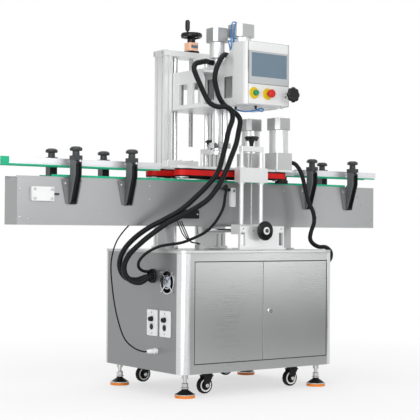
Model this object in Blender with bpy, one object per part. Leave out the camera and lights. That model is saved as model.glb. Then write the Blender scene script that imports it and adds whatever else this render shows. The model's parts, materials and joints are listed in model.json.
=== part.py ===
"""Inline screw capping machine: a steel cabinet on feet and castors, a slat conveyor over its table,
two belt units that hold the bottles, and a capping head on a lifting gantry.

Metres, +Z up. +X is the way the bottles travel and -Y is the operator's side.
The origin is on the floor, under the middle of the whole machine.
"""

import math

import bmesh
import bpy
from mathutils import Matrix, Vector

# Clearances
GAP = 0.0003
DOOR_GAP = 0.002
SHAFT_GAP = 0.0005
OVERLAP = 0.001

# Cabinet
CABINET_WIDTH = 0.812
CABINET_DEPTH = 0.611
CABINET_HEIGHT = 0.488
CABINET_X = 0.079
CABINET_Y = 0.005
SHEET = 0.002
CORNER_RADIUS = 0.040
FOOT_HEIGHT = 0.098
FOOT_INSET = 0.055
PAD_RADIUS = 0.0415
PAD_HEIGHT = 0.012
STEM_RADIUS = 0.008
TABLE_THICKNESS = 0.012
TABLE_OVERHANG = 0.006
TABLE_CORNER = 0.060
DOOR_WIDTH = 0.3505
DOOR_HEIGHT = 0.412
DOOR_LEFT_MARGIN = 0.0636
DOOR_SILL = 0.041
DOOR_FOLD = 0.018
LOCK_RADIUS = 0.013
LOCK_PROUD = 0.007
LOCK_BARREL = 0.009
LOCK_FROM_SEAM = 0.035
LOCK_HEIGHT = 0.245
CAM_LENGTH = 0.037
CAM_RADIUS = 0.008

# Castors
CASTOR_INSET_X = 0.1775
CASTOR_INSET_Y = 0.0725
CASTOR_TRAIL = 0.0125
WHEEL_RADIUS = 0.035
WHEEL_WIDTH = 0.022
WHEEL_LIFT = 0.007
FORK_GAP = 0.0015
FORK_SHEET = 0.003
AXLE_RADIUS = 0.004

# Left side panel, measured back from the cabinet's front and up from its bottom
FAN_BACK, FAN_UP = 0.106, 0.370
FAN_RADIUS = 0.046
FAN_SCREW_HALF_PITCH = 0.04125
GUARD_RADIUS = 0.050
GUARD_DEPTH = 0.003
FAN_DEPTH = 0.025
ROTOR_RADIUS = 0.0405
GLAND_BACK, GLAND_UP = 0.215, 0.392
GLAND_RADIUS = 0.030
GLAND_SHANK = 0.021
GLAND_SEAT = 0.006
SWITCH_BACKS = (0.115, 0.210)
SWITCH_UP = 0.199
SWITCH_WIDTH = 0.075
SWITCH_HEIGHT = 0.107
SWITCH_THICKNESS = 0.006
DIAL_RADIUS = 0.011
DIAL_UP = 0.016
PLUG_BACK, PLUG_UP = 0.180, 0.084
PLUG_RADIUS = 0.012
PLUG_LENGTH = 0.050

# Conveyor
CONVEYOR_LENGTH = 1.9025
CONVEYOR_WIDTH = 0.107
CONVEYOR_HEIGHT = 0.192
CONVEYOR_X = 0.0212
CONVEYOR_BACK = 0.010
PANEL = 0.002
FLANGE = 0.010
LEG_HEIGHT = 0.099
LEG_SIDE = 0.046
LEG_DEPTH = 0.060
LEG_XS = (-0.195, 0.453)
CHAIN_WIDTH = 0.0825
CHAIN_THICKNESS = 0.006
CHAIN_RADIUS = 0.058
CHAIN_SINK = 0.003
CHAIN_END_INSET = 0.080
SLATS = 84
SLAT_GROOVE = 0.0018
STRIP_INSETS = (0.153, 0.1845)
STRIP_HEIGHT = 0.009
STRIP_WIDTH = 0.007

# Guide rails and their brackets
RAIL_HEIGHT = 0.022
RAIL_THICKNESS = 0.010
RAIL_UP = 0.0625
RAIL_HALF_GAP = 0.034
RAIL_ENDS = {"near_left": (-0.995, -0.250), "far_left": (-0.995, -0.268)}
RAIL_ENDS |= {"near_right": (0.490, 0.995), "far_right": (0.420, 0.995)}
NEAR_BRACKET_INSETS = (0.241, 0.169)
FAR_BRACKET_INSETS = (0.226, 0.2055)
NEAR_INNER_BRACKETS = (-0.426, 0.552)
FAR_INNER_BRACKETS = (-0.456, 0.515)
BEARING_INSET = 0.058
BEARING_LENGTH = 0.098
BEARING_Z = (0.792, 0.848)
BEARING_STUD = 0.025
BRACKET_WIDTH = 0.033
BRACKET_DEPTH = 0.038
BRACKET_BACK = 0.015
BRACKET_RISE = 0.085
BRACKET_DROP = 0.109
BRACKET_ELBOW = 0.0105
BRACKET_HEAD = 0.019
BRACKET_FOOT = 0.012
BRACKET_CHANNEL = 0.008
BRACKET_FOOT_TOP, BRACKET_FOOT_LOW = 0.046, 0.026
RAIL_ROD = 0.005
BRACKET_KNOB = 0.026

# Lifting gantry
GANTRY_X = 0.072
GANTRY_BACK = 0.2115
COLUMN_CLEARANCE = 0.0027
COLUMN_WIDTH = 0.040
COLUMN_DEPTH = 0.080
COLUMN_HEIGHT = 0.860
COLUMN_SLOT = 0.0085
COLUMN_SLOT_DEPTH = 0.007
BRIDGE_THICKNESS = 0.025
BRIDGE_OVERHANG = 0.005
ROD_SPREAD = 0.0887
ROD_RADIUS = 0.0125
SCREW_RADIUS = 0.010
SCREW_LOW = 1.060
COUNTER_SIDE = 0.056
COUNTER_BASE = 0.0115
COUNTER_HEIGHT = 0.0495
RIM_RADIUS = 0.050
RIM_HEIGHT = 0.020
HUB_HEIGHT = 0.024
HANDLE_RADIUS = 0.011
HANDLE_HEIGHT = 0.055
HANDLE_PLACE = (-0.036, -0.021)

# Capping head
HEAD_BOTTOM = 1.214
ARM_HEIGHT = 0.166
ARM_WIDTH = 0.258
ARM_PLATE = 0.012
ARM_FRONT_BACK = -0.0605
ARM_WINDOWS = ((-0.0355, 0.0225), (0.062, 0.1225))
ARM_WINDOW_Z = (1.232, 1.323)
BEARING_WIDTH = 0.050
BEARING_DEPTH = 0.070
HOUSING_X = (0.023, 0.271)
HOUSING_FRONT = -0.1655
HOUSING_STEP = -0.0855
HOUSING_REAR = 0.0595
HOUSING_SIDE_REAR = 0.0095
HOUSING_HEIGHT = 0.186
HOUSING_SLOPE = 0.070
HOUSING_PLATE = 0.006
HOUSING_WINDOWS = ((-0.1615, -0.1045), (-0.0385, 0.0195))
HOUSING_WINDOW_Z = (1.250, 1.342)
BOX_DEPTH = 0.090
BOX_LOW, BOX_HEIGHT = 1.217, 0.268
BOX_CORNER = 0.025
BOX_WALL = 0.003
BEZEL_X, BEZEL_Z = (0.038, 0.2505), (1.305, 1.442)
SCREEN_X, SCREEN_Z = (0.0505, 0.243), (1.3345, 1.4365)
BEZEL_PROUD = 0.004
BUTTON_Z = 1.264
START_X, STOP_X, CLAMP_X = 0.067, 0.139, 0.240
BUTTON_HOLE = 0.0085
RING_OUTER, RING_INNER = 0.0195, 0.0125
SPINDLE = (0.070, 0.015)
SPINDLE_RADIUS = 0.010
SLEEVE_RADIUS = 0.019
SLEEVE_TOP = 1.260
GUIDE_X, GUIDE_RADIUS = 0.114, 0.015
CROSS_BAR_Z = (1.043, 1.067)
CHUCK_RADIUS = 0.0215
CHUCK_BOTTOM = 1.015
STROKE_MOTOR = (0.163, -0.0385)

# Belt units
SLIDE_X = 0.145
FRONT_SLIDE_OUT, REAR_SLIDE_OUT = 0.1555, 0.135
POST_SPREAD = 0.0535
POST_RADIUS = 0.0095
POST_TOP = 1.0235
TOP_PLATE = (0.125, 0.026, 0.0225)
BED_ROD_SPREAD = 0.040
BED_ROD_RADIUS = 0.008
BED_ROD_Z = 0.680
BED_BLOCK_X = (0.063, 0.228)
BED_BLOCK_Z = (0.664, 0.707)
FRONT_BLOCK_DEPTH, REAR_BLOCK_DEPTH = 0.070, 0.030
BED_PLATE = 0.012
BED_FRONT = -0.2055
BED_FRONT_X = (0.035, 0.277)
BED_REAR = 0.185
BED_REAR_X = (0.085, 0.197)
BED_TOP = 0.700
BLOCK_WIDTH = 0.152
FRONT_CARRIER_BLOCK, REAR_CARRIER_BLOCK = 0.040, 0.030
BLOCK_Z = (0.889, 0.953)
BELT_OUT = 0.0635
BELT_SPAN = 0.530
BELT_RADIUS = 0.032
BELT_THICKNESS = 0.005
BELT_HEIGHT = 0.034
BELT_BOTTOM = 0.909
CARRIER_GAP = 0.0015
CARRIER_THICKNESS = 0.010
CARRIER_HALF_WIDTH = 0.029
FRONT_DRIVE_X = 0.372
REAR_DRIVE_X = 0.309
GEARBOX = 0.090
GEARBOX_HEIGHT = 0.076
MOTOR_RADIUS = 0.043
MOTOR_HEIGHT = 0.104
MOTOR_CAP_HEIGHT = 0.053
LIFT_SCREW = 0.0045
HAND_KNOB = 0.029
WIDTH_WHEEL = 0.042
WIDTH_SCREW = 0.006

# Cables
CONDUIT = 0.010
SPIRAL = 0.006
LEAD = 0.003
MOTOR_LEAD = 0.009

# Places that several pieces share
LEFT = CABINET_X - CABINET_WIDTH / 2
RIGHT = CABINET_X + CABINET_WIDTH / 2
FRONT = CABINET_Y - CABINET_DEPTH / 2
BACK = CABINET_Y + CABINET_DEPTH / 2
BODY_TOP = FOOT_HEIGHT + CABINET_HEIGHT
TABLE_TOP = BODY_TOP + GAP + TABLE_THICKNESS
DOOR_LOW = FOOT_HEIGHT + DOOR_SILL
DOOR_HIGH = DOOR_LOW + DOOR_HEIGHT
DOOR_LEFT = LEFT + DOOR_LEFT_MARGIN
SEAM = DOOR_LEFT + DOOR_WIDTH + DOOR_GAP / 2
DOOR_RIGHT = SEAM + DOOR_GAP / 2 + DOOR_WIDTH
LOCK_X = SEAM + LOCK_FROM_SEAM
LOCK_Z = FOOT_HEIGHT + LOCK_HEIGHT
LINE_Y = CABINET_Y + CONVEYOR_BACK
CONVEYOR_LOW = TABLE_TOP + GAP + LEG_HEIGHT
CONVEYOR_TOP = CONVEYOR_LOW + CONVEYOR_HEIGHT
CONVEYOR_LEFT = CONVEYOR_X - CONVEYOR_LENGTH / 2
CONVEYOR_RIGHT = CONVEYOR_X + CONVEYOR_LENGTH / 2
STRIP_SPAN = (CONVEYOR_LEFT + STRIP_INSETS[0], CONVEYOR_RIGHT - STRIP_INSETS[1])
CONVEYOR_FRONT = LINE_Y - CONVEYOR_WIDTH / 2
CHAIN_Z = CONVEYOR_TOP - CHAIN_SINK - CHAIN_RADIUS
CHAIN_INNER = CHAIN_RADIUS - CHAIN_THICKNESS
NEAR_BRACKETS = (CONVEYOR_LEFT + NEAR_BRACKET_INSETS[0], *NEAR_INNER_BRACKETS,
                 CONVEYOR_RIGHT - NEAR_BRACKET_INSETS[1])
FAR_BRACKETS = (CONVEYOR_LEFT + FAR_BRACKET_INSETS[0], *FAR_INNER_BRACKETS,
                CONVEYOR_RIGHT - FAR_BRACKET_INSETS[1])
CHAIN_ENDS = (CONVEYOR_LEFT + CHAIN_END_INSET, CONVEYOR_RIGHT - CHAIN_END_INSET)
RAIL_Z = CONVEYOR_TOP + RAIL_UP
BRACKET_TOP = CONVEYOR_TOP + BRACKET_RISE
GANTRY_Y = CABINET_Y + GANTRY_BACK
COLUMN_SPREAD = ARM_WIDTH / 2 + COLUMN_CLEARANCE + COLUMN_WIDTH / 2
COLUMN_TOP = TABLE_TOP + GAP + COLUMN_HEIGHT
BRIDGE_TOP = COLUMN_TOP + BRIDGE_THICKNESS
HEAD_TOP = HEAD_BOTTOM + ARM_HEIGHT
HOUSING_TOP = HEAD_BOTTOM + HOUSING_HEIGHT
ARM_X = (GANTRY_X - ARM_WIDTH / 2, GANTRY_X + ARM_WIDTH / 2)
ARM_FRONT = CABINET_Y + ARM_FRONT_BACK
ARM_REAR = GANTRY_Y + BEARING_DEPTH / 2
BOX_REAR = HOUSING_FRONT - GAP
BOX_FRONT = BOX_REAR - BOX_DEPTH
FRONT_SLIDE_Y = LINE_Y - FRONT_SLIDE_OUT
REAR_SLIDE_Y = LINE_Y + REAR_SLIDE_OUT
CARRIER_LOW = BELT_BOTTOM + BELT_HEIGHT + CARRIER_GAP
CARRIER_HIGH = CARRIER_LOW + CARRIER_THICKNESS
GLAND = (LEFT - GAP, FRONT + GLAND_BACK, FOOT_HEIGHT + GLAND_UP)
PLUG = (LEFT - GAP, FRONT + PLUG_BACK, FOOT_HEIGHT + PLUG_UP)
FAN = (LEFT, FRONT + FAN_BACK, FOOT_HEIGHT + FAN_UP)
CABLE_ENTRY = (RIGHT, FRONT + 0.0655, 0.540)
UP, DOWN = (0, 0, 1), (0, 0, -1)
TO_FRONT, TO_BACK = (0, -1, 0), (0, 1, 0)
TO_LEFT, TO_RIGHT = (-1, 0, 0), (1, 0, 0)


def clear_scene():
    for obj in list(bpy.data.objects):
        bpy.data.objects.remove(obj)


def paint(name, color, metallic, roughness):
    """A Principled material, made once for each name."""
    if name in bpy.data.materials:
        return bpy.data.materials[name]
    made = bpy.data.materials.new(name)
    made.use_nodes = True
    shader = made.node_tree.nodes["Principled BSDF"]
    shader.inputs["Base Color"].default_value = (*color, 1)
    shader.inputs["Metallic"].default_value = metallic
    shader.inputs["Roughness"].default_value = roughness
    return made


def stainless():
    return paint("stainless_sheet", (0.50, 0.50, 0.50), 1.0, 0.35)


def aluminium():
    return paint("anodised_aluminium", (0.72, 0.72, 0.72), 1.0, 0.40)


def chrome():
    return paint("ground_chrome", (0.75, 0.75, 0.75), 1.0, 0.12)


def black_plastic():
    return paint("black_plastic", (0.03, 0.03, 0.03), 0.0, 0.45)


def black_rubber():
    return paint("black_rubber", (0.02, 0.02, 0.02), 0.0, 0.75)


def white_plastic():
    return paint("white_plastic", (0.80, 0.80, 0.78), 0.0, 0.40)


def object_from(bm):
    bmesh.ops.recalc_face_normals(bm, faces=bm.faces)
    mesh = bpy.data.meshes.new("shape")
    bm.to_mesh(mesh)
    bm.free()
    obj = bpy.data.objects.new("shape", mesh)
    bpy.context.scene.collection.objects.link(obj)
    return obj


def box(x, y, z):
    """A block between the low and high values given for each axis."""
    bm = bmesh.new()
    bmesh.ops.create_cube(bm, size=1)
    size = Vector((x[1] - x[0], y[1] - y[0], z[1] - z[0]))
    middle = Vector((x[0] + x[1], y[0] + y[1], z[0] + z[1])) / 2
    bm.transform(Matrix.Translation(middle) @ Matrix.Diagonal(size).to_4x4())
    return object_from(bm)


def turned(profile, base, direction, sides=14, hollow=False):
    """A turned shape. profile lists (radius, distance from base along direction), from end to end.
    A hollow one's profile is a closed loop that leaves a bore along the axis."""
    bm = bmesh.new()
    turn = Vector(direction).to_track_quat("Z", "Y").to_matrix().to_4x4()
    place = Matrix.Translation(Vector(base)) @ turn
    rings = []
    for radius, height in profile:
        steps = sides if radius > 0 else 1
        angles = [2 * math.pi * step / sides for step in range(steps)]
        points = [(radius * math.cos(a), radius * math.sin(a), height) for a in angles]
        rings.append([bm.verts.new(place @ Vector(point)) for point in points])
    pairs = list(zip(rings, rings[1:]))
    if hollow:
        pairs.append((rings[-1], rings[0]))
    for lower, upper in pairs:
        for step in range(sides):
            corners = [lower[step % len(lower)], lower[(step + 1) % len(lower)]]
            corners += [upper[(step + 1) % len(upper)], upper[step % len(upper)]]
            bm.faces.new(list(dict.fromkeys(corners)))
    for ring in (rings[0], rings[-1]):
        if len(ring) > 1 and not hollow:
            bm.faces.new(ring)
    return object_from(bm)


def rod(start, end, radius, sides=12):
    """A round bar between two points."""
    along = Vector(end) - Vector(start)
    return turned([(radius, 0), (radius, along.length)], start, along, sides)


def ring(inner, outer, height, base, direction, sides=18):
    section = [(inner, 0), (outer, 0), (outer, height), (inner, height)]
    return turned(section, base, direction, sides, True)


def extruded(outline, span, axis="Z"):
    """An outline drawn across one axis and given length along it, between the two values of span."""
    order = {"X": (2, 0, 1), "Y": (0, 2, 1), "Z": (0, 1, 2)}[axis]
    bm = bmesh.new()
    rings = []
    for level in span:
        points = [(across, up, level) for across, up in outline]
        rings.append([bm.verts.new([point[i] for i in order]) for point in points])
    count = len(outline)
    for i in range(count):
        j = (i + 1) % count
        bm.faces.new((rings[0][i], rings[0][j], rings[1][j], rings[1][i]))
    bm.faces.new(rings[0])
    bm.faces.new(rings[1])
    return object_from(bm)


def rounded(a, b, radius, steps=4):
    """The outline of a rectangle with round corners, between the low and high values a and b."""
    points = []
    corners = ((a[1], b[1], 0), (a[0], b[1], 90), (a[0], b[0], 180), (a[1], b[0], 270))
    for corner_a, corner_b, start in corners:
        centre_a = corner_a - math.copysign(radius, corner_a - sum(a) / 2)
        centre_b = corner_b - math.copysign(radius, corner_b - sum(b) / 2)
        for step in range(steps + 1):
            angle = math.radians(start + 90 * step / steps)
            points.append((centre_a + radius * math.cos(angle), centre_b + radius * math.sin(angle)))
    return points


def octagon(x, y, half, cut_off):
    """A square outline with its corners cut off at 45 degrees."""
    return rounded(spread(x, half), spread(y, half), cut_off, 1)


def racetrack(low, high, middle, radius, steps=8):
    """A long outline with half-round ends, whose end centres are at low and high."""
    points = []
    for centre, start in ((high, -90), (low, 90)):
        for step in range(steps + 1):
            angle = math.radians(start + 180 * step / steps)
            points.append((centre + radius * math.cos(angle), middle + radius * math.sin(angle)))
    return points


def lobed(centre, radius, lobes, dip):
    """The outline of a hand knob: lobes of one radius, with a dip between them."""
    points = []
    for step in range(lobes * 4):
        angle = 2 * math.pi * step / (lobes * 4)
        reach = radius - dip * (1 - math.cos(lobes * angle)) / 2
        points.append((centre[0] + reach * math.cos(angle), centre[1] + reach * math.sin(angle)))
    return points


def combine(shape, tools, operation):
    for tool in tools:
        modifier = shape.modifiers.new(operation, "BOOLEAN")
        modifier.operation = operation
        modifier.solver = "EXACT"
        modifier.object = tool
        graph = bpy.context.evaluated_depsgraph_get()
        made = bpy.data.meshes.new_from_object(shape.evaluated_get(graph))
        shape.modifiers.clear()
        shape.data = made
        bpy.data.objects.remove(tool)
    return shape


def join(shape, *others):
    return combine(shape, others, "UNION")


def cut(shape, *tools):
    return combine(shape, tools, "DIFFERENCE")


def swing(shape, degrees, axis, pivot):
    """Turns a shape about an axis through pivot."""
    turn = Matrix.Rotation(math.radians(degrees), 4, Vector(axis))
    shape.data.transform(Matrix.Translation(Vector(pivot)) @ turn @ Matrix.Translation(-Vector(pivot)))
    return shape


def finish(name, shape, material, pivot=(0, 0, 0)):
    """Names a finished piece, gives it its material and puts its origin on pivot."""
    shape.name = name
    shape.data.name = name
    shape.data.materials.clear()
    shape.data.materials.append(material)
    shape.data.shade_smooth()
    shape.data.set_sharp_from_angle(angle=math.radians(32))
    shape.data.transform(Matrix.Translation(-Vector(pivot)))
    shape.location = pivot
    return shape


def spread(centre, half):
    return (centre - half, centre + half)


def moved(point, x=0, y=0, z=0):
    return (point[0] + x, point[1] + y, point[2] + z)


def foot(x, y):
    """A levelling foot: a rubber pad, a cone and a threaded stem with its nut."""
    cone_top = PAD_HEIGHT + 0.026
    profile = [(PAD_RADIUS, 0), (PAD_RADIUS, PAD_HEIGHT), (PAD_RADIUS * 0.9, PAD_HEIGHT + 0.004)]
    profile += [(0.014, cone_top - 0.006), (0.012, cone_top), (STEM_RADIUS, cone_top)]
    profile += [(STEM_RADIUS, FOOT_HEIGHT - 0.022), (0.013, FOOT_HEIGHT - 0.022)]
    profile += [(0.013, FOOT_HEIGHT + SHEET / 2)]
    return turned(profile, (x, y, 0), UP, 12)


def door_frame():
    """The folded return round the door opening, as a block that the opening is then cut from."""
    outer_x = (DOOR_LEFT - DOOR_GAP - SHEET, DOOR_RIGHT + DOOR_GAP + SHEET)
    outer_z = (DOOR_LOW - DOOR_GAP - SHEET, DOOR_HIGH + DOOR_GAP + SHEET)
    return box(outer_x, (FRONT + SHEET / 2, FRONT + DOOR_FOLD * 1.6), outer_z)


def cabinet_shell():
    shell = extruded(rounded((LEFT, RIGHT), (FRONT, BACK), CORNER_RADIUS, 5), (FOOT_HEIGHT, BODY_TOP))
    inner_x = (LEFT + SHEET, RIGHT - SHEET)
    inner_y = (FRONT + SHEET, BACK - SHEET)
    inner = rounded(inner_x, inner_y, CORNER_RADIUS - SHEET, 5)
    cut(shell, extruded(inner, (FOOT_HEIGHT + SHEET, BODY_TOP + 0.01)))
    opening_x = (DOOR_LEFT - DOOR_GAP, DOOR_RIGHT + DOOR_GAP)
    opening_z = (DOOR_LOW - DOOR_GAP, DOOR_HIGH + DOOR_GAP)
    join(shell, door_frame())
    cut(shell, box(opening_x, (FRONT - 0.01, FRONT + DOOR_FOLD * 3), opening_z))
    for x in (LEFT + FOOT_INSET, RIGHT - FOOT_INSET):
        for y in (FRONT + FOOT_INSET, BACK - FOOT_INSET):
            join(shell, foot(x, y))
    for place, radius in ((FAN, FAN_RADIUS), (GLAND, GLAND_SHANK + GAP), (PLUG, PLUG_RADIUS * 0.7)):
        cut(shell, rod(moved(place, x=-0.02), moved(place, x=0.02), radius, 20))
    for y in spread(FAN[1], FAN_SCREW_HALF_PITCH):
        for z in spread(FAN[2], FAN_SCREW_HALF_PITCH):
            cut(shell, rod((LEFT - 0.01, y, z), (LEFT + 0.01, y, z), 0.003, 6))
    join(shell, turned([(0.014, 0), (0.014, 0.006)], moved(CABLE_ENTRY, x=-OVERLAP), TO_RIGHT))
    for hinge_x, side in ((DOOR_LEFT, -1), (DOOR_RIGHT, 1)):
        hinge_span = sorted((hinge_x + side * GAP, hinge_x + side * (DOOR_GAP + OVERLAP)))
        for z in (DOOR_LOW + 0.060, DOOR_HIGH - 0.060):
            join(shell, box(hinge_span, (FRONT + 0.003, FRONT + 0.015), spread(z, 0.020)))
    for row in range(6):
        slot_z = spread(FOOT_HEIGHT + 0.33 + 0.018 * row, 0.003)
        cut(shell, box(spread(RIGHT, 0.02), spread(CABINET_Y + 0.06, 0.09), slot_z))
    return finish("cabinet_shell", shell, stainless())


def table_top():
    over_x = (LEFT - TABLE_OVERHANG, RIGHT + TABLE_OVERHANG)
    over_y = (FRONT - TABLE_OVERHANG, BACK + TABLE_OVERHANG)
    plate = extruded(rounded(over_x, over_y, TABLE_CORNER, 6), (BODY_TOP + GAP, TABLE_TOP))
    return finish("table_top", plate, stainless())


def door(span):
    """A folded pan, open at the back."""
    pan = box(span, (FRONT, FRONT + DOOR_FOLD), (DOOR_LOW, DOOR_HIGH))
    hollow_x = (span[0] + SHEET, span[1] - SHEET)
    hollow_z = (DOOR_LOW + SHEET, DOOR_HIGH - SHEET)
    return cut(pan, box(hollow_x, (FRONT + SHEET, FRONT + DOOR_FOLD * 2), hollow_z))


def doors():
    left = door((DOOR_LEFT, DOOR_LEFT + DOOR_WIDTH))
    finish("left_door", left, stainless(), (DOOR_LEFT, FRONT, DOOR_LOW))
    right = door((DOOR_RIGHT - DOOR_WIDTH, DOOR_RIGHT))
    lock = (LOCK_X, FRONT, LOCK_Z)
    cut(right, rod(moved(lock, y=-0.01), moved(lock, y=0.01), LOCK_BARREL + SHAFT_GAP))
    finish("right_door", right, stainless(), (DOOR_RIGHT, FRONT, DOOR_LOW))


def door_lock():
    """A round cam lock. Its cam hangs down, unlocked, and turns behind the left door to lock."""
    cam_y = FRONT + DOOR_FOLD + OVERLAP
    start = FRONT - LOCK_PROUD
    profile = [(LOCK_RADIUS - 0.002, 0), (LOCK_RADIUS, 0.002), (LOCK_RADIUS, LOCK_PROUD - GAP)]
    profile += [(LOCK_BARREL, LOCK_PROUD - GAP), (LOCK_BARREL, cam_y - start + OVERLAP)]
    lock = turned(profile, (LOCK_X, start, LOCK_Z), TO_BACK, 12)
    outline = racetrack(LOCK_Z - CAM_LENGTH, LOCK_Z, LOCK_X, CAM_RADIUS, 5)
    cam = extruded([(across, up) for up, across in outline], (cam_y, cam_y + 0.003), "Y")
    join(lock, cam)
    return finish("door_lock", lock, chrome(), (LOCK_X, FRONT, LOCK_Z))


def caster(number, x, y):
    """A swivelling fork, whose wheel trails behind its stem."""
    wheel = (x - CASTOR_TRAIL, y, WHEEL_RADIUS + WHEEL_LIFT)
    crown = wheel[2] + WHEEL_RADIUS + 0.0025
    inner = WHEEL_WIDTH / 2 + FORK_GAP
    outer = inner + FORK_SHEET
    fork = box((wheel[0] - 0.014, x + 0.024), spread(y, outer), (crown, crown + 0.004))
    join(fork, rod((x, y, crown + 0.002), (x, y, FOOT_HEIGHT - GAP), 0.024))
    outline = [(wheel[0], wheel[2] - 0.010), (wheel[0] + 0.011, wheel[2] - 0.002)]
    outline += [(x + 0.022, crown + 0.002), (wheel[0] - 0.012, crown + 0.002), (wheel[0] - 0.011, wheel[2])]
    for span in ((y - outer, y - inner), (y + inner, y + outer)):
        join(fork, extruded(outline, span, "Y"))
    join(fork, rod(moved(wheel, y=-outer - 0.001), moved(wheel, y=outer + 0.001), AXLE_RADIUS, 8))
    finish(f"caster_fork_{number}", fork, black_plastic(), (x, y, FOOT_HEIGHT))
    half = WHEEL_WIDTH / 2
    bore = AXLE_RADIUS + SHAFT_GAP
    profile = [(bore, 0.002), (0.024, 0.002), (0.026, 0), (WHEEL_RADIUS - 0.002, 0), (WHEEL_RADIUS, 0.004)]
    profile += [(radius, WHEEL_WIDTH - depth) for radius, depth in reversed(profile)]
    tyre = turned(profile, moved(wheel, y=-half), TO_BACK, 14, True)
    finish(f"caster_wheel_{number}", tyre, black_rubber(), wheel)


def casters():
    number = 0
    for y in (FRONT + CASTOR_INSET_Y, BACK - CASTOR_INSET_Y):
        for x in (LEFT + CASTOR_INSET_X, RIGHT - CASTOR_INSET_X):
            number += 1
            caster(number, x, y)


def guard_bar(angle):
    """A flat bar across the fan opening, turned about the fan's axis."""
    reach = FAN_SCREW_HALF_PITCH * math.sqrt(2) + 0.004
    span_x = spread(LEFT - GAP - GUARD_DEPTH / 2, GUARD_DEPTH / 2 - 0.0005)
    bar = box(span_x, spread(FAN[1], reach), spread(FAN[2], 0.003))
    return swing(bar, angle, (1, 0, 0), FAN)


def fan():
    """An axial fan: the guard outside the wall and the frame inside it, with the screws between."""
    back = LEFT + SHEET + GAP
    half = FAN_RADIUS
    frame = box((back, back + FAN_DEPTH), spread(FAN[1], half), spread(FAN[2], half))
    cut(frame, rod(moved(FAN, x=-0.01), moved(FAN, x=0.05), ROTOR_RADIUS + 0.003, 20))
    rear_x = (back + FAN_DEPTH - 0.005, back + FAN_DEPTH - 0.001)
    for angle in (15, 105):
        bar = box(rear_x, spread(FAN[1], half * 0.98), spread(FAN[2], 0.003))
        join(frame, swing(bar, angle, (1, 0, 0), FAN))
    join(frame, rod((rear_x[0] - 0.001, *FAN[1:]), (back + FAN_DEPTH, *FAN[1:]), 0.015, 12))
    join(frame, rod((LEFT + 0.007, *FAN[1:]), (rear_x[1] - OVERLAP, *FAN[1:]), 0.003, 10))
    guard = ring(GUARD_RADIUS - 0.004, GUARD_RADIUS, GUARD_DEPTH, moved(FAN, x=-GAP), TO_LEFT)
    join(guard, ring(0.026, 0.029, GUARD_DEPTH, moved(FAN, x=-GAP), TO_LEFT))
    join(guard, turned([(0.010, 0), (0.010, GUARD_DEPTH)], moved(FAN, x=-GAP), TO_LEFT, 12))
    for angle in (45, 135):
        join(guard, guard_bar(angle))
    for y in spread(FAN[1], FAN_SCREW_HALF_PITCH):
        for z in spread(FAN[2], FAN_SCREW_HALF_PITCH):
            join(guard, rod((LEFT - GAP - GUARD_DEPTH - 0.001, y, z), (back + 0.005, y, z), 0.002, 6))
    join(guard, frame)
    finish("fan_frame", guard, black_plastic())
    hub_x = LEFT + 0.008
    rotor = ring(0.003 + SHAFT_GAP, 0.014, 0.013, (hub_x, *FAN[1:]), TO_RIGHT, 16)
    for step in range(5):
        middle = hub_x + 0.0065
        blade = box(spread(middle, 0.001), (FAN[1] + 0.012, FAN[1] + ROTOR_RADIUS), spread(FAN[2], 0.009))
        swing(blade, 35, (0, 1, 0), (middle, *FAN[1:]))
        join(rotor, swing(blade, 72 * step, (1, 0, 0), FAN))
    finish("fan_rotor", rotor, black_plastic(), FAN)


def speed_controls():
    """Two controller plates, each with a rocker switch and a dial that turns."""
    for number, back in enumerate(SWITCH_BACKS, 1):
        y, z = FRONT + back, FOOT_HEIGHT + SWITCH_UP
        outline = rounded(spread(y, SWITCH_WIDTH / 2), spread(z, SWITCH_HEIGHT / 2), 0.005, 2)
        face = LEFT - GAP - SWITCH_THICKNESS
        plate = extruded(outline, (face, LEFT - GAP), "X")
        join(plate, box((face - 0.004, face + OVERLAP), spread(y, 0.010), spread(z - DIAL_UP, 0.007)))
        dial = (face, y, z + DIAL_UP)
        cut(plate, rod(moved(dial, x=-0.01), moved(dial, x=0.005), 0.003 + GAP, 12))
        finish(f"speed_panel_{number}", plate, white_plastic())
        profile = [(0.003, -0.0045), (0.003, GAP), (DIAL_RADIUS, GAP), (DIAL_RADIUS * 0.85, 0.014)]
        knob = turned(profile, dial, TO_LEFT, 14)
        join(knob, box((face - 0.016, face - 0.010), spread(y, 0.0015), spread(dial[2], 0.009)))
        finish(f"speed_knob_{number}", knob, black_plastic(), dial)


def side_fittings():
    profile = [(GLAND_SHANK, -0.012), (GLAND_SHANK, 0), (GLAND_RADIUS, 0), (GLAND_RADIUS, 0.005)]
    profile += [(GLAND_RADIUS - 0.002, 0.011), (0.0255, 0.011), (0.0255, GLAND_SEAT), (0, GLAND_SEAT)]
    finish("cable_gland", turned(profile, GLAND, TO_LEFT, 20), black_plastic())
    profile = [(PLUG_RADIUS * 0.68, -0.008), (PLUG_RADIUS * 0.68, 0), (PLUG_RADIUS, 0), (PLUG_RADIUS, 0.014)]
    profile += [(PLUG_RADIUS * 0.85, 0.015), (PLUG_RADIUS * 0.85, 0.036), (0.005, PLUG_LENGTH)]
    finish("sensor_plug", turned(profile, PLUG, TO_LEFT, 14), chrome())


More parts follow.
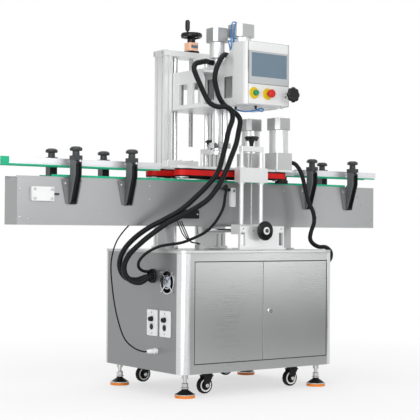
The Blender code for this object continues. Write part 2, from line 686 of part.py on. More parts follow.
def bracket(x, side):
    """A moulded bracket on the conveyor's outer face: a foot plate, a channelled arm that leans out
    and up, a head that the rail's rod passes through, and the mushroom knob that clamps the rod."""
    face = LINE_Y + side * CONVEYOR_WIDTH / 2

    def out(distance):
        return face + side * distance

    low = CONVEYOR_TOP - BRACKET_DROP
    elbow = CONVEYOR_TOP + BRACKET_ELBOW
    head = BRACKET_TOP - BRACKET_HEAD
    back, front = BRACKET_BACK, BRACKET_BACK + BRACKET_DEPTH
    profile = [(out(-OVERLAP), low), (out(BRACKET_FOOT), low), (out(front), elbow)]
    profile += [(out(front), head + OVERLAP), (out(back), head + OVERLAP)]
    profile += [(out(back), elbow), (out(-OVERLAP), CONVEYOR_TOP - 0.006)]
    arm = extruded(profile, spread(x, BRACKET_WIDTH / 2), "X")
    floor = front - BRACKET_CHANNEL
    channel = [(out(BRACKET_FOOT - 0.005), low + 0.010), (out(floor), elbow), (out(floor), head - 0.014)]
    channel += [(out(front + 0.010), head - 0.014), (out(front + 0.010), low + 0.010)]
    cut(arm, extruded(channel, spread(x, BRACKET_WIDTH / 2 - 0.006), "X"))
    head_y = sorted((out(back - 0.002), out(front + 0.002)))
    join(arm, box(spread(x, BRACKET_WIDTH / 2 + 0.0015), head_y, (head, BRACKET_TOP)))
    plate = [(x - BRACKET_FOOT_TOP, CONVEYOR_TOP - 0.009), (x - BRACKET_FOOT_LOW, low + 0.002)]
    plate += [(x + BRACKET_FOOT_LOW, low + 0.002), (x + BRACKET_FOOT_TOP, CONVEYOR_TOP - 0.009)]
    join(arm, extruded(plate, sorted((out(-OVERLAP / 2), out(0.005))), "Y"))
    hole = RAIL_ROD + SHAFT_GAP
    cut(arm, rod((x, out(back - 0.01), RAIL_Z), (x, out(front + 0.01), RAIL_Z), hole, 10))
    knob = [(0.015, -OVERLAP), (0.014, 0.018), (BRACKET_KNOB * 0.9, 0.019), (BRACKET_KNOB, 0.024)]
    knob += [(BRACKET_KNOB * 0.94, 0.031), (BRACKET_KNOB * 0.6, 0.036)]
    return join(arm, turned(knob, (x, out((back + front) / 2), BRACKET_TOP), UP, 10))


def side_panel(side):
    """A folded side plate, with a flange at its top and bottom."""
    face = LINE_Y + side * CONVEYOR_WIDTH / 2
    skin = face - side * PANEL
    edge = face - side * FLANGE
    low, top = CONVEYOR_LOW, CONVEYOR_TOP
    outline = [(face, low), (edge, low), (edge, low + PANEL), (skin, low + PANEL)]
    outline += [(skin, top - PANEL), (edge, top - PANEL), (edge, top), (face, top)]
    return extruded(outline, (CONVEYOR_LEFT, CONVEYOR_RIGHT), "X")


def tail_bearing(side):
    """The block that carries and tensions the tail drum's shaft."""
    face = LINE_Y + side * CONVEYOR_WIDTH / 2
    span_y = sorted((face - side * OVERLAP, face + side * 0.014))
    left = CONVEYOR_LEFT + BEARING_INSET
    end = left + BEARING_LENGTH
    block = box((left, end), span_y, BEARING_Z)
    stud_y, stud_z = face + side * 0.007, sum(BEARING_Z) / 2
    join(block, rod((end - 0.002, stud_y, stud_z), (end + BEARING_STUD, stud_y, stud_z), 0.004, 10))
    return block


def conveyor_frame():
    """Side plates, end covers, slider bed, drums, legs, wear strips, bearings and rail brackets."""
    frame = side_panel(-1)
    inside_y = spread(LINE_Y, CONVEYOR_WIDTH / 2 - PANEL / 2)
    bed_top = CHAIN_Z + CHAIN_INNER - GAP
    join(frame, box((CHAIN_ENDS[0] + 0.08, CHAIN_ENDS[1] - 0.08), inside_y, (bed_top - 0.004, bed_top)))
    join(frame, side_panel(1))
    for x in (CONVEYOR_LEFT + 0.002, CONVEYOR_RIGHT - 0.002):
        join(frame, box(spread(x, 0.0015), inside_y, (CONVEYOR_LOW + OVERLAP, CONVEYOR_TOP - 0.012)))
    for x in CHAIN_ENDS:
        axle = (x, inside_y[0], CHAIN_Z)
        join(frame, rod(axle, (x, inside_y[1], CHAIN_Z), 0.012, 12))
        drum_y = spread(LINE_Y, CHAIN_WIDTH / 2 - 0.006)
        join(frame, rod((x, drum_y[0], CHAIN_Z), (x, drum_y[1], CHAIN_Z), CHAIN_INNER - GAP, 24))
    for x in LEG_XS:
        join(frame, box(spread(x, 0.050), inside_y, (CONVEYOR_LOW + GAP, CONVEYOR_LOW + 0.005)))
        leg_z = (TABLE_TOP + 0.003, CONVEYOR_LOW + 0.003)
        join(frame, box(spread(x, LEG_SIDE / 2), spread(LINE_Y, LEG_DEPTH / 2), leg_z))
        foot_z = (TABLE_TOP + GAP, TABLE_TOP + 0.005)
        join(frame, box(spread(x, LEG_SIDE / 2 + 0.012), spread(LINE_Y, LEG_DEPTH / 2 + 0.010), foot_z))
    for side in (-1, 1):
        face = LINE_Y + side * CONVEYOR_WIDTH / 2
        strip_y = sorted((face - side * OVERLAP / 2, face - side * STRIP_WIDTH))
        join(frame, box(STRIP_SPAN, strip_y, (CONVEYOR_TOP - OVERLAP, CONVEYOR_TOP + STRIP_HEIGHT)))
        join(frame, tail_bearing(side))
        for x in NEAR_BRACKETS if side < 0 else FAR_BRACKETS:
            join(frame, bracket(x, side))
    return finish("conveyor_frame", frame, stainless())


def chain_outline():
    """A racetrack of flat slats, with a groove where each slat meets the next."""
    low, high = CHAIN_ENDS
    straight = high - low
    arc = math.pi * CHAIN_RADIUS
    around = 2 * (straight + arc)

    def point(distance, depth):
        distance %= around
        radius = CHAIN_RADIUS - depth
        if distance < straight:
            return (low + distance, CHAIN_Z + radius)
        if distance < straight + arc:
            angle = math.pi / 2 - (distance - straight) / CHAIN_RADIUS
            return (high + radius * math.cos(angle), CHAIN_Z + radius * math.sin(angle))
        if distance < 2 * straight + arc:
            return (high - (distance - straight - arc), CHAIN_Z - radius)
        angle = -math.pi / 2 - (distance - 2 * straight - arc) / CHAIN_RADIUS
        return (low + radius * math.cos(angle), CHAIN_Z + radius * math.sin(angle))

    points = []
    pitch = around / SLATS
    for slat in range(SLATS):
        start = slat * pitch
        points += [point(start - SLAT_GROOVE, 0), point(start, SLAT_GROOVE), point(start + SLAT_GROOVE, 0)]
        middle = start + pitch / 2
        if point(middle, 0)[0] < low or point(middle, 0)[0] > high:
            points.append(point(middle, 0))
    return points


def conveyor_chain():
    width = spread(LINE_Y, CHAIN_WIDTH / 2)
    loop = extruded(chain_outline(), width, "Y")
    inner = racetrack(*CHAIN_ENDS, CHAIN_Z, CHAIN_INNER, 12)
    cut(loop, extruded(inner, spread(LINE_Y, CHAIN_WIDTH), "Y"))
    return finish("conveyor_chain", loop, white_plastic())


def guide_rail(name, side):
    """A side rail that slides in its two brackets on round rods, with a wear strip along its foot."""
    span = RAIL_ENDS[name]
    inner = LINE_Y + side * RAIL_HALF_GAP
    outer = inner + side * RAIL_THICKNESS
    bar_z = spread(RAIL_Z, RAIL_HEIGHT / 2)
    rail = box(span, sorted((inner, outer)), bar_z)
    strip_y = sorted((inner - side * 0.004, outer - side * 0.002))
    join(rail, box((span[0] + 0.004, span[1] - 0.004), strip_y, (bar_z[0] - 0.010, bar_z[0] + 0.008)))
    for x in NEAR_BRACKETS if side < 0 else FAR_BRACKETS:
        if span[0] < x < span[1]:
            tip = LINE_Y + side * (CONVEYOR_WIDTH / 2 + BRACKET_BACK + BRACKET_DEPTH + 0.0185)
            join(rail, rod((x, outer - side * OVERLAP, RAIL_Z), (x, tip, RAIL_Z), RAIL_ROD, 10))
    return finish(f"guide_rail_{name}", rail, aluminium())


def guide_rails():
    for name in RAIL_ENDS:
        guide_rail(name, -1 if name.startswith("near") else 1)


def profile_outline(x, y):
    """The section of a slotted aluminium profile, two slots deep and one slot wide."""
    half_x, half_y, mouth, deep = COLUMN_WIDTH / 2, COLUMN_DEPTH / 2, COLUMN_SLOT / 2, COLUMN_SLOT_DEPTH
    side = []
    for centre in (-half_y / 2, half_y / 2):
        side += [(half_x, centre - mouth), (half_x - deep, centre - mouth)]
        side += [(half_x - deep, centre + mouth), (half_x, centre + mouth)]
    end = [(mouth, half_y), (mouth, half_y - deep), (-mouth, half_y - deep), (-mouth, half_y)]
    half = [(half_x, -half_y), *side, (half_x, half_y), *end]
    points = half + [(-a, -b) for a, b in half]
    return [(x + a, y + b) for a, b in points]


def lift_gantry():
    """Two slotted columns with a bridge across them, and the chromed rods that the head rides on."""
    low = TABLE_TOP + GAP
    reach = COLUMN_SPREAD + COLUMN_WIDTH / 2 + BRIDGE_OVERHANG
    bridge_y = spread(GANTRY_Y, COLUMN_DEPTH / 2 + BRIDGE_OVERHANG)
    gantry = box(spread(GANTRY_X, reach), bridge_y, (COLUMN_TOP, BRIDGE_TOP))
    for x in spread(GANTRY_X, COLUMN_SPREAD):
        join(gantry, extruded(profile_outline(x, GANTRY_Y), (low, COLUMN_TOP + OVERLAP)))
        foot_x = spread(x, COLUMN_WIDTH / 2 + 0.004)
        join(gantry, box(foot_x, spread(GANTRY_Y, COLUMN_DEPTH / 2 + 0.010), (low, low + 0.012)))
    for x in spread(GANTRY_X, ROD_SPREAD):
        join(gantry, rod((x, GANTRY_Y, low), (x, GANTRY_Y, COLUMN_TOP + OVERLAP), ROD_RADIUS))
        join(gantry, turned([(0.020, 0), (0.020, 0.012)], (x, GANTRY_Y, low), UP))
    hole = SCREW_RADIUS + SHAFT_GAP
    cut(gantry, rod((GANTRY_X, GANTRY_Y, COLUMN_TOP - 0.01), (GANTRY_X, GANTRY_Y, BRIDGE_TOP + 0.01), hole))
    return finish("lift_gantry", gantry, aluminium())


def position_counter():
    """The digital counter round the lift screw: a black foot and an orange body."""
    low = BRIDGE_TOP + GAP
    x, y = spread(GANTRY_X, COUNTER_SIDE / 2), spread(GANTRY_Y, COUNTER_SIDE / 2)
    counter = extruded(rounded(x, y, 0.006, 2), (low, low + COUNTER_BASE))
    shoulder = spread(GANTRY_X, COUNTER_SIDE / 2 - 0.003)
    body = rounded(shoulder, spread(GANTRY_Y, COUNTER_SIDE / 2 - 0.001), 0.010, 3)
    join(counter, extruded(body, (low + COUNTER_BASE - OVERLAP, low + COUNTER_HEIGHT)))
    bore = SCREW_RADIUS + SHAFT_GAP
    cut(counter, rod((GANTRY_X, GANTRY_Y, low - 0.01), (GANTRY_X, GANTRY_Y, low + 0.06), bore))
    orange = paint("orange_counter", (0.80, 0.35, 0.15), 0.0, 0.40)
    return finish("position_counter", counter, orange)


def lift_handwheel():
    """The lift screw, with its handwheel and crank handle on top."""
    hub = BRIDGE_TOP + 2 * GAP + COUNTER_HEIGHT
    rim = hub + HUB_HEIGHT
    top = rim + RIM_HEIGHT
    wheel = rod((GANTRY_X, GANTRY_Y, SCREW_LOW), (GANTRY_X, GANTRY_Y, hub + OVERLAP), SCREW_RADIUS)
    profile = [(0.019, 0), (0.019, HUB_HEIGHT), (0.014, HUB_HEIGHT + 0.012)]
    join(wheel, turned(profile, (GANTRY_X, GANTRY_Y, hub), UP))
    base = (GANTRY_X, GANTRY_Y, rim)
    section = [(RIM_RADIUS - 0.010, 0), (RIM_RADIUS - 0.003, 0), (RIM_RADIUS, 0.006), (RIM_RADIUS, 0.014)]
    section += [(RIM_RADIUS - 0.003, RIM_HEIGHT), (RIM_RADIUS - 0.010, RIM_HEIGHT)]
    join(wheel, turned(section, base, UP, 20, True))
    for angle in (30, 150, 270):
        reach = (GANTRY_X + 0.008, GANTRY_X + RIM_RADIUS - 0.006)
        spoke = box(reach, spread(GANTRY_Y, 0.006), (rim - 0.002, rim + 0.008))
        join(wheel, swing(spoke, angle, (0, 0, 1), base))
    stem = (GANTRY_X + HANDLE_PLACE[0], GANTRY_Y + HANDLE_PLACE[1], top - 0.006)
    profile = [(0.005, 0), (0.005, 0.012), (HANDLE_RADIUS * 0.8, 0.012), (HANDLE_RADIUS, 0.022)]
    profile += [(HANDLE_RADIUS, HANDLE_HEIGHT), (HANDLE_RADIUS * 0.6, HANDLE_HEIGHT + 0.006)]
    join(wheel, turned(profile, stem, UP, 14))
    return finish("lift_handwheel", wheel, black_plastic(), (GANTRY_X, GANTRY_Y, 0))


def arm_plate(front, z):
    """A level plate of the arm: wide round the guide rods and narrow beside the housing."""
    left, right = ARM_X[0] + ARM_PLATE / 2, ARM_X[1] - ARM_PLATE / 2
    step = HOUSING_REAR + 0.0005
    inner = HOUSING_X[0] - 0.0005
    outline = [(left, front), (inner, front), (inner, step), (right, step)]
    outline += [(right, ARM_REAR - OVERLAP), (left, ARM_REAR - OVERLAP)]
    return extruded(outline, z)


def head_carriage():
    """The arm that rides on the guide rods: side plates, level plates, rod bearings and screw nut."""
    low, top = HEAD_BOTTOM, HEAD_TOP
    outline = [(ARM_FRONT, low), (ARM_REAR, low), (ARM_REAR, top), (ARM_FRONT + 0.020, top)]
    outline += [(ARM_FRONT, top - 0.045)]
    arm = extruded(outline, (ARM_X[0], ARM_X[0] + ARM_PLATE), "X")
    for window in ARM_WINDOWS:
        cutter = rounded(window, ARM_WINDOW_Z, 0.004, 2)
        cut(arm, extruded(cutter, spread(ARM_X[0], 0.03), "X"))
    join(arm, arm_plate(ARM_FRONT + OVERLAP, (low, low + ARM_PLATE)))
    join(arm, arm_plate(ARM_FRONT + 0.021, (top - ARM_PLATE, top)))
    right_y = (HOUSING_REAR + 0.0005, ARM_REAR)
    join(arm, box((ARM_X[1] - ARM_PLATE, ARM_X[1]), right_y, (low, top)))
    block_y = spread(GANTRY_Y, BEARING_DEPTH / 2 - OVERLAP)
    reach = ARM_WIDTH / 2 - ARM_PLATE + OVERLAP
    inner = ROD_SPREAD - BEARING_WIDTH / 2
    bearing_z = (low + OVERLAP, top - OVERLAP)
    join(arm, box((GANTRY_X - reach, GANTRY_X - inner), block_y, bearing_z))
    join(arm, box((GANTRY_X + inner, GANTRY_X + reach), block_y, bearing_z))
    nut_z = (top - 0.060, top - OVERLAP)
    join(arm, box(spread(GANTRY_X, 0.024), spread(GANTRY_Y, 0.024), nut_z))
    for x, radius in ((-ROD_SPREAD, ROD_RADIUS), (ROD_SPREAD, ROD_RADIUS), (0, SCREW_RADIUS)):
        start = (GANTRY_X + x, GANTRY_Y, low - 0.01)
        cut(arm, rod(start, moved(start, z=ARM_HEIGHT + 0.02), radius + SHAFT_GAP))
    return finish("head_carriage", arm, aluminium())


def housing_side(span_x, rear):
    low, top = HEAD_BOTTOM, HOUSING_TOP
    outline = [(HOUSING_FRONT, low), (rear, low), (rear, top), (HOUSING_STEP, top)]
    outline += [(HOUSING_FRONT, top + HOUSING_SLOPE)]
    return extruded(outline, span_x, "X")


def housing_floor(front, z):
    left, right = HOUSING_X[0] + HOUSING_PLATE / 2, HOUSING_X[1] - HOUSING_PLATE / 2
    step = ARM_X[1] - ARM_PLATE - 0.001
    outline = [(left, front), (right, front), (right, HOUSING_SIDE_REAR), (step, HOUSING_SIDE_REAR)]
    outline += [(step, HOUSING_REAR), (left, HOUSING_REAR)]
    return extruded(outline, z)


def head_housing():
    """The casing of the capping spindle: two side plates, floor, motor deck and sloping cover."""
    low, top, plate = HEAD_BOTTOM, HOUSING_TOP, HOUSING_PLATE
    casing = housing_side((HOUSING_X[0], HOUSING_X[0] + plate), HOUSING_REAR)
    for window in HOUSING_WINDOWS:
        cutter = rounded(window, HOUSING_WINDOW_Z, 0.004, 2)
        cut(casing, extruded(cutter, spread(HOUSING_X[0], 0.02), "X"))
    join(casing, housing_floor(HOUSING_FRONT + OVERLAP, (low + GAP, low + plate)))
    join(casing, housing_floor(HOUSING_STEP - 0.002, (top - plate, top - GAP)))
    join(casing, housing_side((HOUSING_X[1] - plate, HOUSING_X[1]), HOUSING_SIDE_REAR))
    cover = [(HOUSING_STEP + 0.002, top - 0.004), (HOUSING_FRONT + GAP, top + HOUSING_SLOPE - 0.007)]
    cover += [(HOUSING_FRONT + GAP, top + HOUSING_SLOPE - GAP), (HOUSING_STEP, top - GAP)]
    inner_x = (HOUSING_X[0] + plate / 2, HOUSING_X[1] - plate / 2)
    join(casing, extruded(cover, inner_x, "X"))
    for x, radius in ((SPINDLE[0], SLEEVE_RADIUS), (GUIDE_X, GUIDE_RADIUS)):
        start = (x, SPINDLE[1], low - 0.01)
        cut(casing, rod(start, moved(start, z=0.04), radius + SHAFT_GAP))
    return finish("head_housing", casing, aluminium())


def operator_box():
    """The control box: a folded case with round front corners, holes for its controls and their rings."""
    top = BOX_LOW + BOX_HEIGHT
    outline = rounded(HOUSING_X, (BOX_FRONT, BOX_REAR), BOX_CORNER, 4)
    front_half = [point for point in outline if point[1] < (BOX_FRONT + BOX_REAR) / 2]
    outline = [*front_half, (HOUSING_X[1], BOX_REAR), (HOUSING_X[0], BOX_REAR)]
    case = extruded(outline, (BOX_LOW, top))
    inner_x = (HOUSING_X[0] + BOX_CORNER / 2, HOUSING_X[1] - BOX_CORNER / 2)
    inner_z = (BOX_LOW + BOX_WALL, top - BOX_WALL)
    cut(case, box(inner_x, (BOX_FRONT + BOX_WALL, BOX_REAR + 0.02), inner_z))
    back = BOX_FRONT + BOX_WALL * 2
    for x, height in ((START_X, 0.010), (STOP_X, 0.014)):
        base = (x, BOX_FRONT + OVERLAP, BUTTON_Z)
        join(case, ring(RING_INNER, RING_OUTER, height + OVERLAP, base, TO_FRONT))
    for x, radius in ((START_X, BUTTON_HOLE), (STOP_X, BUTTON_HOLE), (CLAMP_X, 0.0065)):
        cut(case, rod((x, back, BUTTON_Z), (x, BOX_FRONT - 0.001, BUTTON_Z), radius))
    window_x, window_z = spread(sum(SCREEN_X) / 2, 0.080), spread(sum(SCREEN_Z) / 2, 0.042)
    cut(case, box(window_x, (BOX_FRONT - 0.01, back), window_z))
    return finish("operator_box", case, white_plastic())


def touch_screen():
    face = BOX_FRONT - GAP - BEZEL_PROUD
    panel = extruded(rounded(BEZEL_X, BEZEL_Z, 0.004, 2), (face, BOX_FRONT - GAP), "Y")
    cut(panel, box(SCREEN_X, (face - 0.01, face + 0.001), SCREEN_Z))
    boss_x, boss_z = spread(sum(SCREEN_X) / 2, 0.079), spread(sum(SCREEN_Z) / 2, 0.041)
    join(panel, box(boss_x, (BOX_FRONT - 0.002, BOX_FRONT + 0.030), boss_z))
    return finish("touch_screen", panel, paint("grey_screen", (0.30, 0.36, 0.42), 0.0, 0.15))


def push_button(name, x, profile, color):
    """A sprung button: its cap outside the ring and its stem through the box's front."""
    stem = [(0.0078, -0.020), (0.0078, 0.004)]
    button = turned(stem + profile, (x, BOX_FRONT, BUTTON_Z), TO_FRONT, 12)
    return finish(name, button, paint(name + "_color", color, 0.0, 0.35), (x, BOX_FRONT, BUTTON_Z))


def controls():
    start = [(0.0115, 0.004), (0.0115, 0.021), (0.0095, 0.024)]
    push_button("start_button", START_X, start, (0.01, 0.35, 0.10))
    stop = [(0.0078, 0.007), (0.0115, 0.011), (0.0115, 0.026), (0.0165, 0.026), (0.0185, 0.029)]
    stop += [(0.0185, 0.034), (0.012, 0.040)]
    push_button("stop_button", STOP_X, stop, (0.65, 0.02, 0.02))
    front = BOX_FRONT
    outline = lobed((CLAMP_X, BUTTON_Z), 0.031, 6, 0.006)
    knob = extruded(outline, (front - 0.061, front - 0.041), "Y")
    profile = [(0.006, -0.020), (0.006, GAP), (0.011, GAP), (0.015, 0.042)]
    join(knob, turned(profile, (CLAMP_X, front, BUTTON_Z), TO_FRONT, 14))
    finish("clamp_knob", knob, black_plastic(), (CLAMP_X, front, BUTTON_Z))


def motor_cap(x, y, half, z):
    return extruded(octagon(x, y, half, half * 0.38), z)


def head_motors():
    """The spindle motor over the chuck and the stroke motor that pushes the chuck down."""
    low = HOUSING_TOP + GAP
    x, y = SPINDLE
    profile = [(0.030, 0), (0.030, 0.006), (0.022, 0.006), (0.022, 0.037), (0.034, 0.040), (0.034, 0.111)]
    spindle_motor = turned(profile, (x, y, low), UP, 20)
    join(spindle_motor, motor_cap(x, y, 0.041, (low + 0.110, low + 0.172)))
    finish("capping_motor", spindle_motor, aluminium())
    x, y = STROKE_MOTOR
    stroke_motor = extruded(rounded(spread(x, 0.043), spread(y, 0.043), 0.006, 2), (low, low + 0.008))
    join(stroke_motor, turned([(0.0435, 0), (0.0435, 0.129)], (x, y, low + 0.006), UP, 20))
    join(stroke_motor, motor_cap(x, y, 0.0495, (low + 0.134, low + 0.190)))
    finish("stroke_motor", stroke_motor, aluminium())


def stroke_carriage():
    """The sleeve round the spindle and its guide rod, with the bar that ties them."""
    x, y = SPINDLE
    bar = box((x - 0.025, GUIDE_X + 0.022), spread(y, 0.0175), CROSS_BAR_Z)
    sleeve_low = CROSS_BAR_Z[0] + 0.002
    join(bar, rod((x, y, sleeve_low), (x, y, SLEEVE_TOP), SLEEVE_RADIUS))
    join(bar, rod((GUIDE_X, y, sleeve_low), (GUIDE_X, y, SLEEVE_TOP), GUIDE_RADIUS))
    cut(bar, rod((x, y, CROSS_BAR_Z[0] - 0.01), (x, y, SLEEVE_TOP + 0.01), SPINDLE_RADIUS + SHAFT_GAP))
    return finish("stroke_carriage", bar, chrome())


def capping_chuck():
    """The driven spindle and the cup that grips a cap."""
    x, y = SPINDLE
    top = CROSS_BAR_Z[0] - GAP
    depth = top - CHUCK_BOTTOM
    profile = [(0.016, 0), (0.016, 0.008), (CHUCK_RADIUS, 0.011), (CHUCK_RADIUS, depth)]
    profile += [(0.0165, depth), (0.0150, depth - 0.012), (0, depth - 0.012)]
    chuck = turned(profile, (x, y, top), DOWN, 18)
    join(chuck, rod((x, y, top - 0.004), (x, y, HOUSING_TOP - 0.030), SPINDLE_RADIUS))
    return finish("capping_chuck", chuck, chrome(), (x, y, CHUCK_BOTTOM))


def slide_bed():
    """The bed of the belt units: end plates on the table, with two rods between them."""
    low = TABLE_TOP + GAP
    front_y = (BED_FRONT, BED_FRONT + BED_PLATE)
    bed = box(BED_FRONT_X, front_y, (low, BED_TOP))
    for x in (BED_FRONT_X[0] + 0.017, BED_FRONT_X[1] - 0.017):
        cut(bed, box(spread(x, 0.011), spread(BED_FRONT, 0.05), (low + 0.018, BED_ROD_Z - 0.008)))
    foot_x = (BED_FRONT_X[0] - 0.005, BED_FRONT_X[1] + 0.008)
    join(bed, box(foot_x, (BED_FRONT - 0.004, BED_FRONT + 0.050), (low, low + 0.008)))
    rear = box(BED_REAR_X, (BED_REAR, BED_REAR + BED_PLATE), (low, BED_TOP))
    join(rear, box(BED_REAR_X, (BED_REAR - 0.020, BED_REAR + BED_PLATE), (low, low + 0.008)))
    for x in spread(SLIDE_X, BED_ROD_SPREAD):
        join(bed, rod((x, BED_FRONT + 0.004, BED_ROD_Z), (x, BED_REAR + 0.004, BED_ROD_Z), BED_ROD_RADIUS))
    join(bed, rear)
    hole = WIDTH_SCREW + SHAFT_GAP
    cut(bed, rod((SLIDE_X, BED_FRONT - 0.01, BED_ROD_Z), (SLIDE_X, BED_FRONT + 0.03, BED_ROD_Z), hole))
    return finish("slide_bed", bed, aluminium())


def width_handwheel():
    """The left and right handed screw that draws both belt units together, with its handwheel."""
    x, z = SLIDE_X, BED_ROD_Z
    wheel = rod((x, BED_FRONT - 0.030, z), (x, BED_REAR - 0.001, z), WIDTH_SCREW)
    profile = [(0.017, GAP), (0.017, 0.026), (WIDTH_WHEEL - 0.008, 0.028), (WIDTH_WHEEL, 0.031)]
    profile += [(WIDTH_WHEEL, 0.037), (WIDTH_WHEEL - 0.005, 0.041), (0.020, 0.039), (0.018, 0.044)]
    join(wheel, turned(profile, (x, BED_FRONT, z), TO_FRONT, 20))
    return finish("width_handwheel", wheel, black_plastic(), (x, BED_FRONT, z))


def posts(name, y, block_depth, block_x):
    """A bed block that slides on the bed rods, with two posts and the plate across their tops."""
    block = box(block_x, spread(y, block_depth / 2), BED_BLOCK_Z)
    for x in spread(SLIDE_X, POST_SPREAD):
        join(block, rod((x, y, BED_BLOCK_Z[1] - 0.010), (x, y, POST_TOP + 0.010), POST_RADIUS))
    width, depth, height = TOP_PLATE
    outline = rounded(spread(SLIDE_X, width / 2), spread(y, depth / 2), 0.010, 2)
    join(block, extruded(outline, (POST_TOP, POST_TOP + height)))
    cut(block, rod((SLIDE_X, y, POST_TOP - 0.01), (SLIDE_X, y, POST_TOP + 0.03), LIFT_SCREW + SHAFT_GAP))
    for x, radius in ((-BED_ROD_SPREAD, BED_ROD_RADIUS), (BED_ROD_SPREAD, BED_ROD_RADIUS), (0, WIDTH_SCREW)):
        start = (SLIDE_X + x, y - 0.05, BED_ROD_Z)
        cut(block, rod(start, moved(start, y=0.10), radius + SHAFT_GAP))
    return finish(name, block, aluminium())


def belt_carrier(name, side, slide_y, block_depth, drive_x):
    """The plate that carries a belt: its lifting block, pulleys, backing bar and motor seat."""
    belt_y = LINE_Y + side * BELT_OUT
    idle_x = drive_x - BELT_SPAN
    inner = belt_y - side * (CARRIER_HALF_WIDTH - 0.001)
    outer = belt_y + side * CARRIER_HALF_WIDTH
    level = (CARRIER_LOW, CARRIER_HIGH)
    end = 0.104 if side < 0 else 0.060
    carrier = box((idle_x - 0.042, drive_x + end), sorted((inner, outer)), level)
    seat = belt_y + side * (GEARBOX / 2)
    join(carrier, box(spread(drive_x, GEARBOX / 2), sorted((belt_y, seat)), level))
    block = box(spread(SLIDE_X, BLOCK_WIDTH / 2), spread(slide_y, block_depth / 2), BLOCK_Z)
    near_face = slide_y - side * (block_depth / 2 - 0.004)
    join(carrier, block)
    arm_z = (CARRIER_LOW + GAP, CARRIER_HIGH - GAP)
    join(carrier, box(spread(SLIDE_X, 0.050), sorted((outer - side * 0.004, near_face)), arm_z))
    core = BELT_RADIUS - BELT_THICKNESS - GAP
    for x in (idle_x, drive_x):
        join(carrier, rod((x, belt_y, BELT_BOTTOM + 0.002), (x, belt_y, CARRIER_LOW + OVERLAP), core, 20))
    bar_x = (idle_x + core + 0.008, drive_x - core - 0.008)
    join(carrier, box(bar_x, spread(belt_y, core - GAP), (BELT_BOTTOM + 0.005, CARRIER_LOW + OVERLAP)))
    for x, radius in ((-POST_SPREAD, POST_RADIUS), (POST_SPREAD, POST_RADIUS), (0, LIFT_SCREW)):
        start = (SLIDE_X + x, slide_y, BLOCK_Z[0] - 0.01)
        cut(carrier, rod(start, moved(start, z=0.09), radius + SHAFT_GAP))
    return finish(name, carrier, aluminium())


def belt(name, side, drive_x):
    belt_y = LINE_Y + side * BELT_OUT
    ends = (drive_x - BELT_SPAN, drive_x)
    level = (BELT_BOTTOM, BELT_BOTTOM + BELT_HEIGHT)
    loop = extruded(racetrack(*ends, belt_y, BELT_RADIUS, 10), level)
    inner = racetrack(*ends, belt_y, BELT_RADIUS - BELT_THICKNESS, 10)
    cut(loop, extruded(inner, (level[0] - 0.01, level[1] + 0.01)))
    return finish(name, loop, paint("red_rubber", (0.60, 0.01, 0.01), 0.0, 0.55))


def gear_motor(name, side, drive_x):
    """A gearbox on the carrier, with a round motor and its eight-sided cap above it."""
    y = LINE_Y + side * BELT_OUT
    low = CARRIER_HIGH + GAP
    neck = low + GEARBOX_HEIGHT
    cap = neck + MOTOR_HEIGHT
    motor = extruded(rounded(spread(drive_x, GEARBOX / 2), spread(y, GEARBOX / 2), 0.004, 1), (low, neck))
    join(motor, rod((drive_x, y, neck - OVERLAP), (drive_x, y, cap + OVERLAP), MOTOR_RADIUS, 18))
    join(motor, motor_cap(drive_x, y, 0.0445, (cap, cap + MOTOR_CAP_HEIGHT)))
    return finish(name, motor, aluminium())


def height_knob(name, y):
    """The lift screw of a belt carrier, with its lobed knob."""
    base = (SLIDE_X, y, POST_TOP + TOP_PLATE[2])
    screw_low = BED_BLOCK_Z[1] + GAP
    knob = rod((SLIDE_X, y, screw_low), (SLIDE_X, y, base[2] + 0.030), LIFT_SCREW)
    join(knob, turned([(0.009, GAP), (0.009, 0.010), (0.013, 0.026)], base, UP, 12))
    star = extruded(lobed((SLIDE_X, y), HAND_KNOB, 6, 0.007), (base[2] + 0.024, base[2] + 0.044))
    join(knob, star)
    return finish(name, knob, black_plastic(), (SLIDE_X, y, 0))


def belt_units():
    sides = (("front", -1, FRONT_SLIDE_Y, FRONT_BLOCK_DEPTH, FRONT_CARRIER_BLOCK, FRONT_DRIVE_X),)
    sides += (("rear", 1, REAR_SLIDE_Y, REAR_BLOCK_DEPTH, REAR_CARRIER_BLOCK, REAR_DRIVE_X),)
    for name, side, y, bed_depth, lift_depth, drive_x in sides:
        width = BED_BLOCK_X if side < 0 else spread(SLIDE_X, TOP_PLATE[0] / 2)
        posts(f"{name}_posts", y, bed_depth, width)
        belt_carrier(f"{name}_belt_carrier", side, y, lift_depth, drive_x)
        belt(f"{name}_belt", side, drive_x)
        gear_motor(f"{name}_gear_motor", side, drive_x)
        height_knob(f"{name}_height_knob", y)


def panel_fittings():
    """The bottle sensor and the small junction box on the conveyor's front."""
    back = CONVEYOR_FRONT - GAP
    sensor = extruded(rounded((0.100, 0.128), (0.784, 0.868), 0.005, 2), (back - 0.014, back), "Y")
    join(sensor, box((0.106, 0.122), (back - 0.020, back - 0.013), (0.846, 0.862)))
    finish("photo_sensor", sensor, white_plastic())
    junction = extruded(rounded((-0.154, -0.074), (0.730, 0.767), 0.004, 2), (back - 0.022, back), "Y")
    finish("junction_box", junction, black_plastic())


